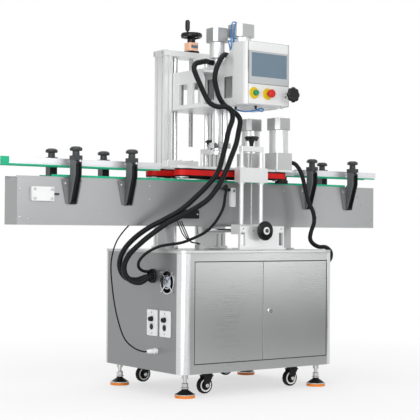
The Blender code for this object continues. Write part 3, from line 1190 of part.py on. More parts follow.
def smooth_route(route, spacing):
    """Points at an even spacing on a smooth curve through the route's own points.
    The first and last pairs stay straight, so that each end meets its seat squarely."""
    points = [Vector(point) for point in route]
    dense = []
    for before, start, end, after in zip(points, points[1:], points[2:], points[3:]):
        for step in range(12):
            t = step / 12
            curve = 2 * start + (end - before) * t
            curve += (2 * before - 5 * start + 4 * end - after) * t * t
            curve += (3 * start - before - 3 * end + after) * t ** 3
            dense.append(curve / 2)
    dense.append(points[-2])
    total = sum((b - a).length for a, b in zip(dense, dense[1:]))
    count = round(total / spacing)
    even, walked, wanted = [points[0], dense[0]], 0, total / count
    for a, b in zip(dense, dense[1:]):
        length = (b - a).length
        while walked + length >= wanted and len(even) <= count:
            even.append(a.lerp(b, (wanted - walked) / length))
            wanted += total / count
        walked += length
    return [*even, dense[-1], points[-1]]


def cable(name, route, radius, spacing, resolution=2):
    curve = bpy.data.curves.new(name, "CURVE")
    curve.dimensions = "3D"
    curve.bevel_depth = radius
    curve.bevel_resolution = resolution
    curve.use_fill_caps = True
    spline = curve.splines.new("POLY")
    points = smooth_route(route, spacing)
    spline.points.add(len(points) - 1)
    for knot, point in zip(spline.points, points):
        knot.co = (*point, 1)
    curve.materials.append(black_rubber())
    obj = bpy.data.objects.new(name, curve)
    bpy.context.scene.collection.objects.link(obj)
    return obj


def cables():
    seat = GLAND[0] - GLAND_SEAT - GAP
    motor_side = SPINDLE[0] - 0.022 - GAP
    route = [(motor_side, 0.015, 1.420), (0.034, 0.015, 1.420), (0.005, 0.002, 1.421)]
    route += [(-0.030, -0.035, 1.414), (-0.072, -0.060, 1.404), (-0.112, -0.080, 1.392)]
    route += [(-0.132, -0.095, 1.368), (-0.130, -0.110, 1.335), (-0.118, -0.125, 1.293)]
    route += [(-0.106, -0.140, 1.252)]
    route += [(-0.093, -0.157, 1.219), (-0.070, -0.178, 1.203), (-0.040, -0.196, 1.203)]
    route += [(-0.014, -0.204, 1.188), (-0.008, -0.204, 1.150), (-0.024, -0.200, 1.104)]
    route += [(-0.039, -0.199, 1.044), (-0.053, -0.194, 0.985), (-0.064, -0.185, 0.935)]
    route += [(-0.089, -0.170, 0.890), (-0.146, -0.148, 0.827), (-0.217, -0.131, 0.766)]
    route += [(-0.285, -0.113, 0.726), (-0.345, -0.088, 0.692), (-0.392, -0.058, 0.652)]
    route += [(-0.425, -0.029, 0.607), (-0.440, -0.011, 0.560), (-0.436, -0.006, 0.515)]
    route += [(-0.418, -0.020, 0.482), (-0.388, -0.050, 0.473), (-0.352, -0.0735, 0.486)]
    route += [(seat, -0.0735, 0.486)]
    cable("conduit_left", route, CONDUIT, 0.045)
    stroke_side = STROKE_MOTOR[0] - 0.0435 - 2 * GAP
    route = [(stroke_side, -0.0385, 1.436), (0.105, -0.0385, 1.436), (0.080, -0.060, 1.440)]
    route += [(0.050, -0.085, 1.442), (0.020, -0.104, 1.438), (-0.012, -0.128, 1.420)]
    route += [(-0.038, -0.143, 1.393), (-0.056, -0.150, 1.362), (-0.066, -0.155, 1.325)]
    route += [(-0.060, -0.158, 1.286)]
    route += [(-0.046, -0.160, 1.247), (-0.020, -0.164, 1.213), (0.015, -0.170, 1.192)]
    route += [(0.040, -0.178, 1.172), (0.046, -0.188, 1.146), (0.031, -0.196, 1.099)]
    route += [(0.013, -0.203, 1.047), (-0.016, -0.205, 0.986), (-0.036, -0.203, 0.938)]
    route += [(-0.066, -0.196, 0.877), (-0.106, -0.179, 0.817), (-0.163, -0.164, 0.775)]
    route += [(-0.230, -0.153, 0.740), (-0.293, -0.142, 0.709), (-0.350, -0.120, 0.667)]
    route += [(-0.395, -0.094, 0.624), (-0.428, -0.068, 0.582), (-0.445, -0.053, 0.538)]
    route += [(-0.440, -0.051, 0.497), (-0.418, -0.066, 0.470), (-0.388, -0.086, 0.464)]
    route += [(-0.352, -0.0975, 0.486), (seat, -0.0975, 0.486)]
    cable("conduit_right", route, CONDUIT, 0.045)
    route = [(0.100 - GAP, -0.046, 0.858), (0.088, -0.046, 0.858), (0.060, -0.060, 0.866)]
    route += [(0.020, -0.125, 0.872), (-0.012, -0.172, 0.858), (-0.030, -0.186, 0.825)]
    route += [(-0.040, -0.186, 0.775), (-0.074, -0.182, 0.719), (-0.122, -0.180, 0.676)]
    route += [(-0.188, -0.180, 0.647)]
    route += [(-0.250, -0.178, 0.628), (-0.310, -0.172, 0.620), (-0.355, -0.160, 0.610)]
    route += [(-0.395, -0.135, 0.583), (-0.412, -0.112, 0.552), (-0.404, -0.098, 0.526)]
    route += [(-0.376, -0.0885, 0.511), (-0.350, -0.0855, 0.508), (seat, -0.0855, 0.508)]
    cable("spiral_cable", route, SPIRAL, 0.026)
    rear = LINE_Y + CONVEYOR_WIDTH / 2 + GAP
    route = [(PLUG[0] - PLUG_LENGTH - GAP, PLUG[1], PLUG[2]), (-0.390, PLUG[1], PLUG[2])]
    route += [(-0.422, -0.095, 0.197), (-0.440, -0.045, 0.237), (-0.440, 0.015, 0.330)]
    route += [(-0.434, 0.060, 0.440), (-0.421, 0.092, 0.540), (-0.390, 0.108, 0.620)]
    route += [(-0.345, 0.114, 0.676), (-0.300, 0.110, 0.715), (-0.262, 0.098, 0.738)]
    route += [(-0.249, rear + 0.010, 0.745), (-0.249, rear, 0.745)]
    cable("sensor_cable", route, LEAD, 0.016)
    gearbox_side = FRONT_DRIVE_X + GEARBOX / 2 + GAP
    route = [(gearbox_side, -0.060, 0.990), (0.428, -0.060, 0.990), (0.446, -0.078, 0.984)]
    route += [(0.458, -0.103, 0.948), (0.478, -0.108, 0.885), (0.497, -0.110, 0.820), (0.516, -0.124, 0.765)]
    route += [(0.518, -0.128, 0.720), (0.503, -0.126, 0.680), (0.486, -0.138, 0.648)]
    route += [(0.478, -0.166, 0.625), (0.484, -0.200, 0.6105), (0.502, -0.226, 0.609)]
    route += [(0.520, -0.237, 0.590), (0.522, -0.236, 0.562), (0.502, CABLE_ENTRY[1], CABLE_ENTRY[2])]
    route += [(CABLE_ENTRY[0] + 0.006 - OVERLAP + GAP, CABLE_ENTRY[1], CABLE_ENTRY[2])]
    cable("motor_cable", route, MOTOR_LEAD, 0.024)


clear_scene()
cabinet_shell()
table_top()
doors()
door_lock()
casters()
fan()
speed_controls()
side_fittings()
conveyor_frame()
conveyor_chain()
guide_rails()
lift_gantry()
position_counter()
lift_handwheel()
head_carriage()
head_housing()
operator_box()
touch_screen()
controls()
head_motors()
stroke_carriage()
capping_chuck()
slide_bed()
width_handwheel()
belt_units()
panel_fittings()
cables()
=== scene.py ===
# %% [markdown]
# # An inline screw capping machine, dressed for a catalogue picture
# The imported CAD model is the skeleton: every piece below sits on it, and all but the conduits and the
# motor lead move with one of its bodies.
# The steps are: the camera and the light, the finishes, the cables, then the machine from the floor up.

# %% Load the frame
import json
import math

import bpy
from mathutils import Matrix, Vector


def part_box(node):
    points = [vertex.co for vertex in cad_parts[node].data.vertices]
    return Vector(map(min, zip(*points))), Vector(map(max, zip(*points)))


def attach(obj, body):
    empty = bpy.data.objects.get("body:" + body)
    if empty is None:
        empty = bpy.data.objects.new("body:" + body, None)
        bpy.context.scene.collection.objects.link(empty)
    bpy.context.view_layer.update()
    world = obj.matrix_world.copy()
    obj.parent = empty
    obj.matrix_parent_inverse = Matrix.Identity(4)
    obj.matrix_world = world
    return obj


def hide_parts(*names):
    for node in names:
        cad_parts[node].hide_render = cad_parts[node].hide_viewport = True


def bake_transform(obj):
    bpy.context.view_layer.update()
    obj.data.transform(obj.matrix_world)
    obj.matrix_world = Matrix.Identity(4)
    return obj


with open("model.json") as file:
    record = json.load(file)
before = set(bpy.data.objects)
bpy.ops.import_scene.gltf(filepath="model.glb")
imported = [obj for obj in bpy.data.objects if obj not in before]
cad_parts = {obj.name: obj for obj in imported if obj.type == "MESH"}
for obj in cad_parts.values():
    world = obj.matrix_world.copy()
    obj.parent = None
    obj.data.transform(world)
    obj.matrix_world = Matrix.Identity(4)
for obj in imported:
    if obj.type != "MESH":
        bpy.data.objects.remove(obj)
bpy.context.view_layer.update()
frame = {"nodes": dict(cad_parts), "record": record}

record = frame["record"]
body_of = {node: body for body, nodes in record["behaviour"]["bodies"].items() for node in nodes}
bpy.ops.object.select_all(action="DESELECT")

# %% [markdown]
# ## The camera
# The photograph was taken with a long lens from the front left, at the height of the conveyor's legs.
# A long lens could be faked with an orthographic camera, but the slight perspective along the conveyor
# would be lost, so the camera stands where it stood and has the focal length that the edges asked for.

# %% Camera
EYE = Vector((-3.0751, -4.2594, 0.6764))
HEADING, RISE, ROLL = 0.6294, 0.0177, 0.0070
LENS = 103.06

ahead = Vector((math.sin(HEADING) * math.cos(RISE), math.cos(HEADING) * math.cos(RISE), math.sin(RISE)))
level = Vector((math.cos(HEADING), -math.sin(HEADING), 0))
above = level.cross(ahead)
right = level * math.cos(ROLL) + above * math.sin(ROLL)
upward = above * math.cos(ROLL) - level * math.sin(ROLL)
camera = bpy.data.objects.new("camera", bpy.data.cameras.new("camera"))
bpy.context.scene.collection.objects.link(camera)
camera.matrix_world = Matrix.Translation(EYE) @ Matrix((right, upward, -ahead)).transposed().to_4x4()
camera.data.sensor_fit = "HORIZONTAL"
camera.data.sensor_width = 36
camera.data.lens = LENS
bpy.context.scene.camera = camera
bpy.context.scene.view_settings.view_transform = "Standard"
print("camera", round(EYE.length, 2), "m from the origin")

# %% [markdown]
# ## The studio
# A catalogue photograph of steel is lit by large soft boxes in a white room. The room is the world here:
# what the camera and the shiny metals see is white, and what lights dull surfaces is a little darker,
# so that the lamps still give each form a light side and a dark side.

# %% A node helper, the world and the lamps
def add(tree, kind, settings=None, *sockets, **links):
    """Adds a shader node and sets its values. The sockets go to its inputs in order, and the links to
    the inputs of those names, with _ for a space."""
    node = tree.nodes.new("ShaderNode" + kind)
    for key, value in (settings or {}).items():
        if key in node.inputs:
            node.inputs[key].default_value = value
        else:
            setattr(node, key, value)
    for i, socket in enumerate(sockets):
        tree.links.new(socket, node.inputs[i])
    for key, socket in links.items():
        tree.links.new(socket, node.inputs[key.replace("_", " ")])
    return node


def seen_directly(tree):
    """1 for what the camera, a reflection or a glass pane sees, and 0 for what lights dull surfaces."""
    rays = add(tree, "LightPath").outputs
    plain = add(tree, "Math", {"operation": "ADD"}, rays["Is Camera Ray"], rays["Is Glossy Ray"])
    every = add(tree, "Math", {"operation": "ADD", "use_clamp": True}, plain.outputs[0],
                rays["Is Transmission Ray"])
    return every.outputs[0]


ROOM_LIGHT = 0.50
world = bpy.data.worlds.new("white_room")
bpy.context.scene.world = world
world.use_nodes = True
tree = world.node_tree
tree.nodes.clear()
dim = add(tree, "Background", {"Color": (1, 1, 1, 1), "Strength": ROOM_LIGHT})
white = add(tree, "Background", {"Color": (1, 1, 1, 1), "Strength": 1.0})
mix = add(tree, "MixShader", None, seen_directly(tree), dim.outputs[0], white.outputs[0])
add(tree, "OutputWorld", None, mix.outputs[0])


def facing(place, target):
    """The place of a lamp or a card that hangs at one point and faces another."""
    aim = Vector(target) - Vector(place)
    return Matrix.Translation(place) @ aim.to_track_quat("-Z", "Y").to_matrix().to_4x4()


def lamp(name, place, target, width, power, height=None):
    """A soft box that hangs at a place and faces a target. Without a height it is square."""
    made = bpy.data.lights.new(name, "AREA")
    made.shape = "RECTANGLE"
    made.size = width
    made.size_y = height or width
    made.energy = power
    obj = bpy.data.objects.new(name, made)
    bpy.context.scene.collection.objects.link(obj)
    obj.matrix_world = facing(place, target)
    return obj


def flag(name, place, target, width, height):
    """A black card that only reflections see, so that steel beside it turns dark."""
    bpy.ops.object.select_all(action="DESELECT")
    bpy.ops.mesh.primitive_plane_add(size=1, location=(0, 0, 0))
    card = bpy.context.active_object
    card.name = name
    card.matrix_world = facing(place, target) @ Matrix.Diagonal((width, height, 1, 1))
    card.visible_camera = False
    card.visible_diffuse = False
    card.visible_shadow = False
    card.visible_transmission = False
    black = bpy.data.materials.new(name + "_felt")
    black.use_nodes = True
    black.node_tree.nodes["Principled BSDF"].inputs["Base Color"].default_value = (0.02, 0.02, 0.02, 1)
    card.data.materials.append(black)
    return card


lamp("tall_box_left", (-3.05, -2.35, 1.15), (0, 0, 0.75), 1.9, 54, 2.6)
lamp("soft_box_high", (-2.2, -2.9, 3.0), (-0.1, 0, 0.8), 1.5, 18)
lamp("soft_box_front", (0.1, -4.2, 2.0), (0.1, 0, 0.8), 1.9, 38)
lamp("box_for_doors", (2.45, -3.35, 0.82), (0.1, -0.3, 0.55), 0.9, 6.5, 0.40)
lamp("soft_box_top", (0.2, 0.3, 4.2), (0.1, 0, 0.8), 2.8, 42)
lamp("soft_box_back", (0.8, 3.8, 2.2), (0.1, 0, 0.8), 2.0, 24)
flag("flag_middle", (0.80, -1.05, 0.93), (0.16, -0.07, 0.91), 0.78, 0.44)
flag("flag_low", (1.0, -1.55, 0.02), (0.1, -0.3, 0.30), 1.9, 0.58)
flag("flag_caps", (-0.75, 1.05, 1.66), (0.1, 0, 1.60), 0.9, 0.26)
print("room", ROOM_LIGHT, "with six soft boxes and three black flags")

# %% [markdown]
# ## The finishes
# Each finish is named for what it is and how it was made. Colours are written as sRGB hex values and
# turned to linear light. One noise, stretched along the brush marks or left even for a moulding, varies
# the colour and the roughness and raises the surface. Its grain is given in millimetres.

# %% Surfaces
def linear(code):
    """Turns an sRGB hex colour into linear red, green, blue and alpha."""
    values = [int(code[i:i + 2], 16) / 255 for i in (1, 3, 5)]
    return [v / 12.92 if v <= 0.04045 else ((v + 0.055) / 1.055) ** 2.4 for v in values] + [1]


def shaded(color, factor):
    """A linear colour made lighter or darker."""
    return [min(1, channel * factor) for channel in color[:3]] + [1]


def surface(name, code, metallic, roughness, grain, tint=0.05, swing=0.06, height=0.00003, **more):
    """A finish whose noise has the given grain in millimetres along X, Y and Z."""
    made = bpy.data.materials.new(name)
    made.use_nodes = True
    tree = made.node_tree
    shader = tree.nodes["Principled BSDF"]
    shader.inputs["Metallic"].default_value = metallic
    for key, value in more.items():
        shader.inputs[key.replace("_", " ")].default_value = value
    place = add(tree, "TexCoord")
    fine = add(tree, "Mapping", {"Scale": [1000 / mm for mm in grain]}, Vector=place.outputs["Object"])
    noise = add(tree, "TexNoise", {"Scale": 1.0, "Detail": 3.0}, Vector=fine.outputs["Vector"])
    cloud = add(tree, "TexNoise", {"Scale": 3.0, "Detail": 1.0}, Vector=place.outputs["Object"])
    both = add(tree, "Math", {"operation": "ADD"}, noise.outputs["Fac"], cloud.outputs["Fac"])
    span = add(tree, "MapRange", {"From Min": 0.6, "From Max": 1.4}, Value=both.outputs[0])
    base = linear(code)
    tone = add(tree, "MixRGB", {"Color1": shaded(base, 1 - tint), "Color2": shaded(base, 1 + tint)},
               Fac=span.outputs[0])
    rough = add(tree, "MapRange", {"To Min": roughness - swing, "To Max": roughness + swing},
                Value=span.outputs[0])
    bump = add(tree, "Bump", {"Strength": 0.5, "Distance": height}, Height=noise.outputs["Fac"])
    tree.links.new(tone.outputs[0], shader.inputs["Base Color"])
    tree.links.new(rough.outputs[0], shader.inputs["Roughness"])
    tree.links.new(bump.outputs[0], shader.inputs["Normal"])
    return made


print("white in linear light is", linear("#ffffff")[:3])

# %% [markdown]
# ## Metals
# A metal has no colour of its own beside its reflections, so it is told by how it was made: brushed steel
# blurs them along its marks, chrome keeps them sharp and a casting scatters them. A photograph of brush
# marks could be wrapped around each sheet. A noise stretched along one axis does the same, never repeats
# and has the same scale on every piece.

# %% Metals
# The grain along X, Y and Z in millimetres. Real brush marks are finer than 0.1 mm and would not show,
# so they are drawn about 1 mm apart. FIBRE is the grain of glass fibres and of plating.
BRUSH_X = (160, 3, 1.2)
BRUSH_Z = (2.0, 2.0, 120)
EVEN = (1.5, 1.5, 1.5)
FIBRE = (0.8, 0.8, 0.8)
# Sheet of 304 steel, brushed with a belt: a grey mirror that is blurred along the marks.
steel = surface("brushed_stainless_304", "#8e8f90", 0.80, 0.34, BRUSH_X, 0.03, 0.03, 0.000002)
# The cabinet's rounded corners, the same brushed sheet painted much brighter: a painted highlight, a bright
# upright band.
corner_steel_painted_highlight = surface("stainless_corner_painted_highlight", "#d3d4d5", 0.85, 0.27, (3, 3, 120), 0.03, 0.03)
# The same brushed sheet, painted lighter on the doors and the front than on the sides, as the lit side: soft
# fades from light to dark down each door.
front_steel_painted_lighter = surface("brushed_stainless_front_painted_lighter", "#adaeae", 0.80, 0.29, BRUSH_X, 0.03, 0.03, 0.000002)
# The conveyor's brushed plates: an even silver grey.
steel_line = surface("brushed_stainless_conveyor", "#a0a1a2", 0.85, 0.32, BRUSH_X, 0.03, 0.03, 0.000002)
# The table's heavier sheet, wiped smooth by use: paler, with a soft sheen.
table_steel = surface("brushed_stainless_table", "#bcbdbd", 0.75, 0.33, BRUSH_X, 0.04, 0.04, 0.000002)
# Extruded aluminium, etched and clear anodised: a pale and nearly matt silver.
alloy = surface("satin_anodised_aluminium", "#e3e4e4", 0.40, 0.38, BRUSH_Z, 0.012, 0.02, 0.000004)
# Flat drawn bar of the rails: slightly streaked along its length.
alloy_bar = surface("drawn_aluminium_bar", "#d9dadd", 0.60, 0.32, BRUSH_X, 0.04, 0.05)
# Aluminium castings blasted with glass beads: a soft grey that looks alike from all sides.
casting = surface("bead_blasted_aluminium", "#c6c7c7", 0.60, 0.40, (0.9, 0.9, 0.9), 0.04, 0.05, 0.00004)
# A motor's turned tube, too fine for marks to show: soft upright bands of light.
motor_shell = surface("turned_motor_shell", "#d3d4d4", 0.80, 0.38, (40, 40, 6), 0.012, 0.02, 0.0000004)
# A motor's milled cap: flat facets, each of one tone.
motor_cap = surface("machined_motor_cap", "#b0b1b1", 0.85, 0.36, (30, 30, 30), 0.02, 0.03, 0.000001)
# Hard chromed steel: narrow bright lines between dark ones.
chrome = surface("hard_chromed_steel", "#d2d3d4", 1.0, 0.20, (60, 60, 60), 0.03, 0.03, 0.000001)
# Ground steel posts: duller than chrome, so their light spreads over the whole rod.
post_steel = surface("ground_slide_post", "#e2e3e4", 0.60, 0.40, (60, 60, 60), 0.02, 0.03, 0.000001)
# Zinc plated steel: small bright glints, slightly warm.
zinc = surface("zinc_plated_screw", "#c0c1bf", 0.95, 0.26, FIBRE, 0.08, 0.08)
METALS = (steel, corner_steel_painted_highlight, front_steel_painted_lighter, steel_line, table_steel, alloy, alloy_bar, casting,
          motor_shell, motor_cap, chrome, post_steel, zinc)
print(len(METALS), "metals")

# %% [markdown]
# ## Plastics, rubber and paint
# These show their own colour under a thin clear shine. How strong and how sharp the shine is tells rubber
# from nylon and nylon from pressed phenolic. Under lamps as large as these a black part would look grey.
# Smaller lamps would cure that, but put hard bands on the steel, so the black parts' shine is lowered.

# %% Plastics, rubber and paint
# Moulded black nylon with glass fibres: a soft black without clear reflections.
nylon = surface("glass_filled_black_nylon", "#18191a", 0.0, 0.38, FIBRE, 0.16, 0.08, 0.00006,
                Specular_IOR_Level=0.16)
# The same black nylon, painted grey on the brackets' arm sides that face the light: a painted lit side.
bracket_painted_lit_side = surface("nylon_bracket_painted_lit_side", "#56595b", 0.0, 0.42, FIBRE, 0.10, 0.06, 0.00006,
                       Specular_IOR_Level=0.3)
# The brackets' moulded knobs: dark grey with a broad soft highlight.
bracket_knob = surface("moulded_grey_bracket_knob", "#353739", 0.0, 0.40, FIBRE, 0.10, 0.06, 0.00006,
                       Specular_IOR_Level=0.3)
# The brackets' cast feet: mid grey and matt.
bracket_web = surface("cast_grey_bracket_foot", "#747677", 0.0, 0.42, FIBRE, 0.08, 0.06, 0.00006,
                      Specular_IOR_Level=0.3)
# Pressed phenolic of knobs and handwheels: deep black with small sharp highlights.
phenolic = surface("pressed_black_phenolic", "#141516", 0.0, 0.15, (6, 6, 6), 0.12, 0.04, 0.00001,
                   Specular_IOR_Level=0.28)
# Corrugated polyamide: black ribs, each with a thin grey line of light.
conduit_black = surface("corrugated_polyamide_conduit", "#17181a", 0.0, 0.34, EVEN, 0.14, 0.06,
                        Specular_IOR_Level=0.12)
# An extruded PVC sheath: smooth, and nearly black.
cable_black = surface("extruded_pvc_cable", "#131415", 0.0, 0.38, EVEN, 0.12, 0.06, Specular_IOR_Level=0.12)
# Moulded rubber: a matt black, a little dusty.
tyre = surface("moulded_rubber_tyre", "#131415", 0.0, 0.55, EVEN, 0.12, 0.08, 0.00006,
               Specular_IOR_Level=0.15)
# A moulded white ring beside the tyre: satin white.
wheel_white = surface("moulded_white_wheel_ring", "#e4e4e2", 0.0, 0.40, EVEN, 0.05, 0.06)
# Skived polyethylene: waxy green, with fine marks along its length.
green = surface("skived_green_polyethylene", "#12a67c", 0.0, 0.40, (90, 1.2, 1.2), 0.08, 0.06,
                Specular_IOR_Level=0.3)
# The belts' red rubber cover: an even and dull red.
belt_red = surface("red_rubber_belt_cover", "#c8110f", 0.0, 0.50, (1.4, 1.4, 40), 0.10, 0.06, 0.00006,
                   Specular_IOR_Level=0.25)
# The belts' woven and dipped core: black and duller still.
belt_black = surface("black_rubber_belt_core", "#121111", 0.0, 0.60, (3, 3, 3), 0.12, 0.06,
                     Specular_IOR_Level=0.12)
# Moulded ABS of the counter: a pale satin orange.
orange = surface("moulded_orange_abs", "#ffc6a6", 0.0, 0.38, (1.2, 1.2, 1.2), 0.04, 0.05)
# Cast polyurethane pads under the feet: a strong and dull orange.
foot_orange = surface("cast_orange_polyurethane", "#e8862a", 0.0, 0.48, EVEN, 0.06, 0.06)
# Powder coat baked on steel: white, with a slight orange peel that softens reflections.
enamel = surface("white_powder_coat", "#dcdddd", 0.0, 0.34, (0.9, 0.9, 0.9), 0.02, 0.05, 0.00004)
# Moulded acetal: a clean satin white.
ivory = surface("moulded_white_acetal", "#e6e7e8", 0.0, 0.40, EVEN, 0.03, 0.05)
# The screen's moulded bezel: matt, and a little darker than the case.
bezel = surface("moulded_grey_bezel", "#b6b9ba", 0.0, 0.50, EVEN, 0.03, 0.05, Specular_IOR_Level=0.15)
# Coated glass of a screen that is off: blue grey, with a blurred reflection.
glass = surface("coated_screen_glass", "#687b89", 0.0, 0.34, (60, 60, 60), 0.03, 0.03, 0.000005,
                Specular_IOR_Level=0.3)
# Moulded collars of the buttons: a satin yellow.
yellow = surface("moulded_yellow_collar", "#d8bc1c", 0.0, 0.36, EVEN, 0.06, 0.05)
# The start button's polished cap: deep green with a small highlight.
green_cap = surface("moulded_green_button", "#0b8656", 0.0, 0.28, EVEN, 0.06, 0.05)
# The stop button's cap, less polished: deep red with a soft highlight.
red_cap = surface("moulded_red_button", "#c01d17", 0.0, 0.38, EVEN, 0.06, 0.05, Specular_IOR_Level=0.3)
# Extruded polyurethane tube: a clear, wet looking blue.
blue = surface("blue_polyurethane_tube", "#1a70b4", 0.0, 0.26, EVEN, 0.05, 0.05)
# Printed foil on the fan's hub, left plain: silver with a blue tinge.
hub_label = surface("plain_silver_hub_foil", "#b9c4d4", 0.30, 0.34, (3, 3, 3), 0.06, 0.06)
# Black laid in a narrow gap as its painted shadow: a dark line around what it borders.
gap_painted_shadow = surface("gap_painted_shadow_strip", "#2a2b2c", 0.0, 0.60, EVEN, 0.10, 0.05)
# A grey foam gasket: a faint line around the lid of the control box.
seam_grey = surface("grey_foam_gasket", "#8a8d8f", 0.0, 0.60, EVEN, 0.06, 0.05)
# The housing's bare inside, painted dark as shade, since no light reaches it: a dark rim in each window.
cavity_painted_shade = surface("housing_cavity_painted_shade", "#3a3c3e", 0.2, 0.55, EVEN, 0.06, 0.05)
print(len(bpy.data.materials), "materials with those of the CAD model")

# %% [markdown]
# ## The floor
# A plain pale floor takes the shadow of the cabinet and its feet. A white backdrop could be pasted in
# later, but then the shadow would be lost, so the paint glows towards white as it leaves the machine.

# %% Floor
FLOOR_SIZE = 16
bpy.ops.mesh.primitive_plane_add(size=FLOOR_SIZE, location=(0, 0, 0))
floor = bpy.context.active_object
floor.name = "floor"
# Rolled floor paint: flat, pale and even.
floor_paint = surface("painted_white_floor", "#f4f4f4", 0.0, 0.80, (30, 30, 30), 0.01, 0.03)
floor_tree = floor_paint.node_tree
HAZE_START, HAZE_END = 0.9, 2.6
spot = add(floor_tree, "TexCoord").outputs["Object"]
reach = add(floor_tree, "VectorMath", {"operation": "LENGTH"}, spot)
SHADOW_SHARE = 0.62
haze = add(floor_tree, "MapRange", {"From Min": HAZE_START, "From Max": HAZE_END, "To Min": SHADOW_SHARE,
                                    "To Max": 1.0}, Value=reach.outputs["Value"])
share = add(floor_tree, "Math", {"operation": "MULTIPLY"}, haze.outputs[0], seen_directly(floor_tree))
glow = add(floor_tree, "Emission", {"Color": (1, 1, 1, 1), "Strength": 1.0})
shown = add(floor_tree, "MixShader", None, share.outputs[0], floor_tree.nodes["Principled BSDF"].outputs[0],
            glow.outputs[0])
floor_tree.links.new(shown.outputs[0], floor_tree.nodes["Material Output"].inputs["Surface"])
floor.data.materials.append(floor_paint)
print("floor", FLOOR_SIZE, "m")

# %% [markdown]
# ## Tools of the trade
# An operator acts on all that is selected, so each step starts by selecting one object. A real edge is
# never sharp, and a rounded one could be faked by a normal map, but a small bevel is true from all sides.

# %% Select, smooth and round
def only(*objs):
    """Selects these objects and no others."""
    bpy.ops.object.select_all(action="DESELECT")
    for obj in objs:
        obj.select_set(True)
    bpy.context.view_layer.objects.active = objs[0]


def smooth(obj, degrees=30):
    """Shades a piece round wherever its faces meet at less than an angle."""
    only(obj)
    bpy.ops.object.shade_smooth_by_angle(angle=math.radians(degrees))


ROUNDED_FROM = 35


def round_edges(obj, width, segments=2):
    """Bevels the sharp edges, so that they catch the light as real edges do."""
    modifier = obj.modifiers.new("rounding", "BEVEL")
    modifier.width = width
    modifier.segments = segments
    modifier.limit_method = "ANGLE"
    modifier.angle_limit = math.radians(ROUNDED_FROM)
    only(obj)
    bpy.ops.object.modifier_apply(modifier=modifier.name)


print("edges are rounded where they turn by", ROUNDED_FROM, "degrees or more")

# %% [markdown]
# ## Dressing a CAD piece
# The CAD piece has the right shape but bare edges and one finish. It could be modelled again from nothing.
# Instead a copy is taken, its loose triangles are merged, its edges are rounded and its zones are painted,
# so that the dressed piece can't depart from the solid. The copy then stands in for the CAD piece.

# %% Zones and dressing
def corners(node):
    """The low and the high corner of a CAD piece."""
    return [Vector(corner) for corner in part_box(node)]


def paint_zones(obj, material, zones):
    """Gives each face the first zone's material whose test on its centre and normal holds."""
    obj.data.materials.clear()
    for finish in (material, *[zone[0] for zone in zones]):
        obj.data.materials.append(finish)
    for face in obj.data.polygons:
        matches = [i for i, zone in enumerate(zones, 1) if zone[1](face.center, face.normal)]
        face.material_index = matches[0] if matches else 0


def flatten_shading(obj):
    """Lets the large faces of a rounded piece shade flat, so that only its edges look round."""
    modifier = obj.modifiers.new("face_weights", "WEIGHTED_NORMAL")
    modifier.keep_sharp = True
    only(obj)
    bpy.ops.object.modifier_apply(modifier=modifier.name)


def dress(node, material, *zones, edge=0.0006, segments=2, cuts=()):
    """A copy of a CAD piece with rounded edges and painted zones, which replaces it.
    Each cut is a point and a direction: the faces are split there, so that zones can meet."""
    piece = bpy.data.objects.new(node + "_dressed", frame["nodes"][node].data.copy())
    bpy.context.scene.collection.objects.link(piece)
    only(piece)
    bpy.ops.object.mode_set(mode="EDIT")
    bpy.ops.mesh.select_all(action="SELECT")
    bpy.ops.mesh.remove_doubles(threshold=0.00002)
    bpy.ops.object.mode_set(mode="OBJECT")
    if edge:
        round_edges(piece, edge, segments)
    bpy.ops.object.mode_set(mode="EDIT")
    for point, direction in cuts:
        bpy.ops.mesh.select_all(action="SELECT")
        bpy.ops.mesh.bisect(plane_co=point, plane_no=direction)
    bpy.ops.object.mode_set(mode="OBJECT")
    paint_zones(piece, material, zones)
    smooth(piece)
    flatten_shading(piece)
    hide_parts(node)
    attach(piece, body_of[node])
    return piece


# %% [markdown]
# ## New pieces
# Knobs, nuts and fittings are turned on a lathe, so they are made as a lathe would: a disc is extruded
# upwards and scaled at each step. Gaskets are plates with the middle cut out, and covers are blocks.
# What repeats, such as a screw, is modelled once and copied to each place.

# %% Turned pieces
def settle(piece, name, material, body):
    """Applies a new piece's place, names it, paints it and puts it on a body."""
    only(piece)
    bpy.ops.object.transform_apply(location=True, rotation=True, scale=True)
    piece.name = name
    piece.data.name = name
    piece.data.materials.clear()
    piece.data.materials.append(material)
    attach(piece, body)
    return piece


# A finger groove leaves this share of a knob's radius.
GROOVE = 0.91


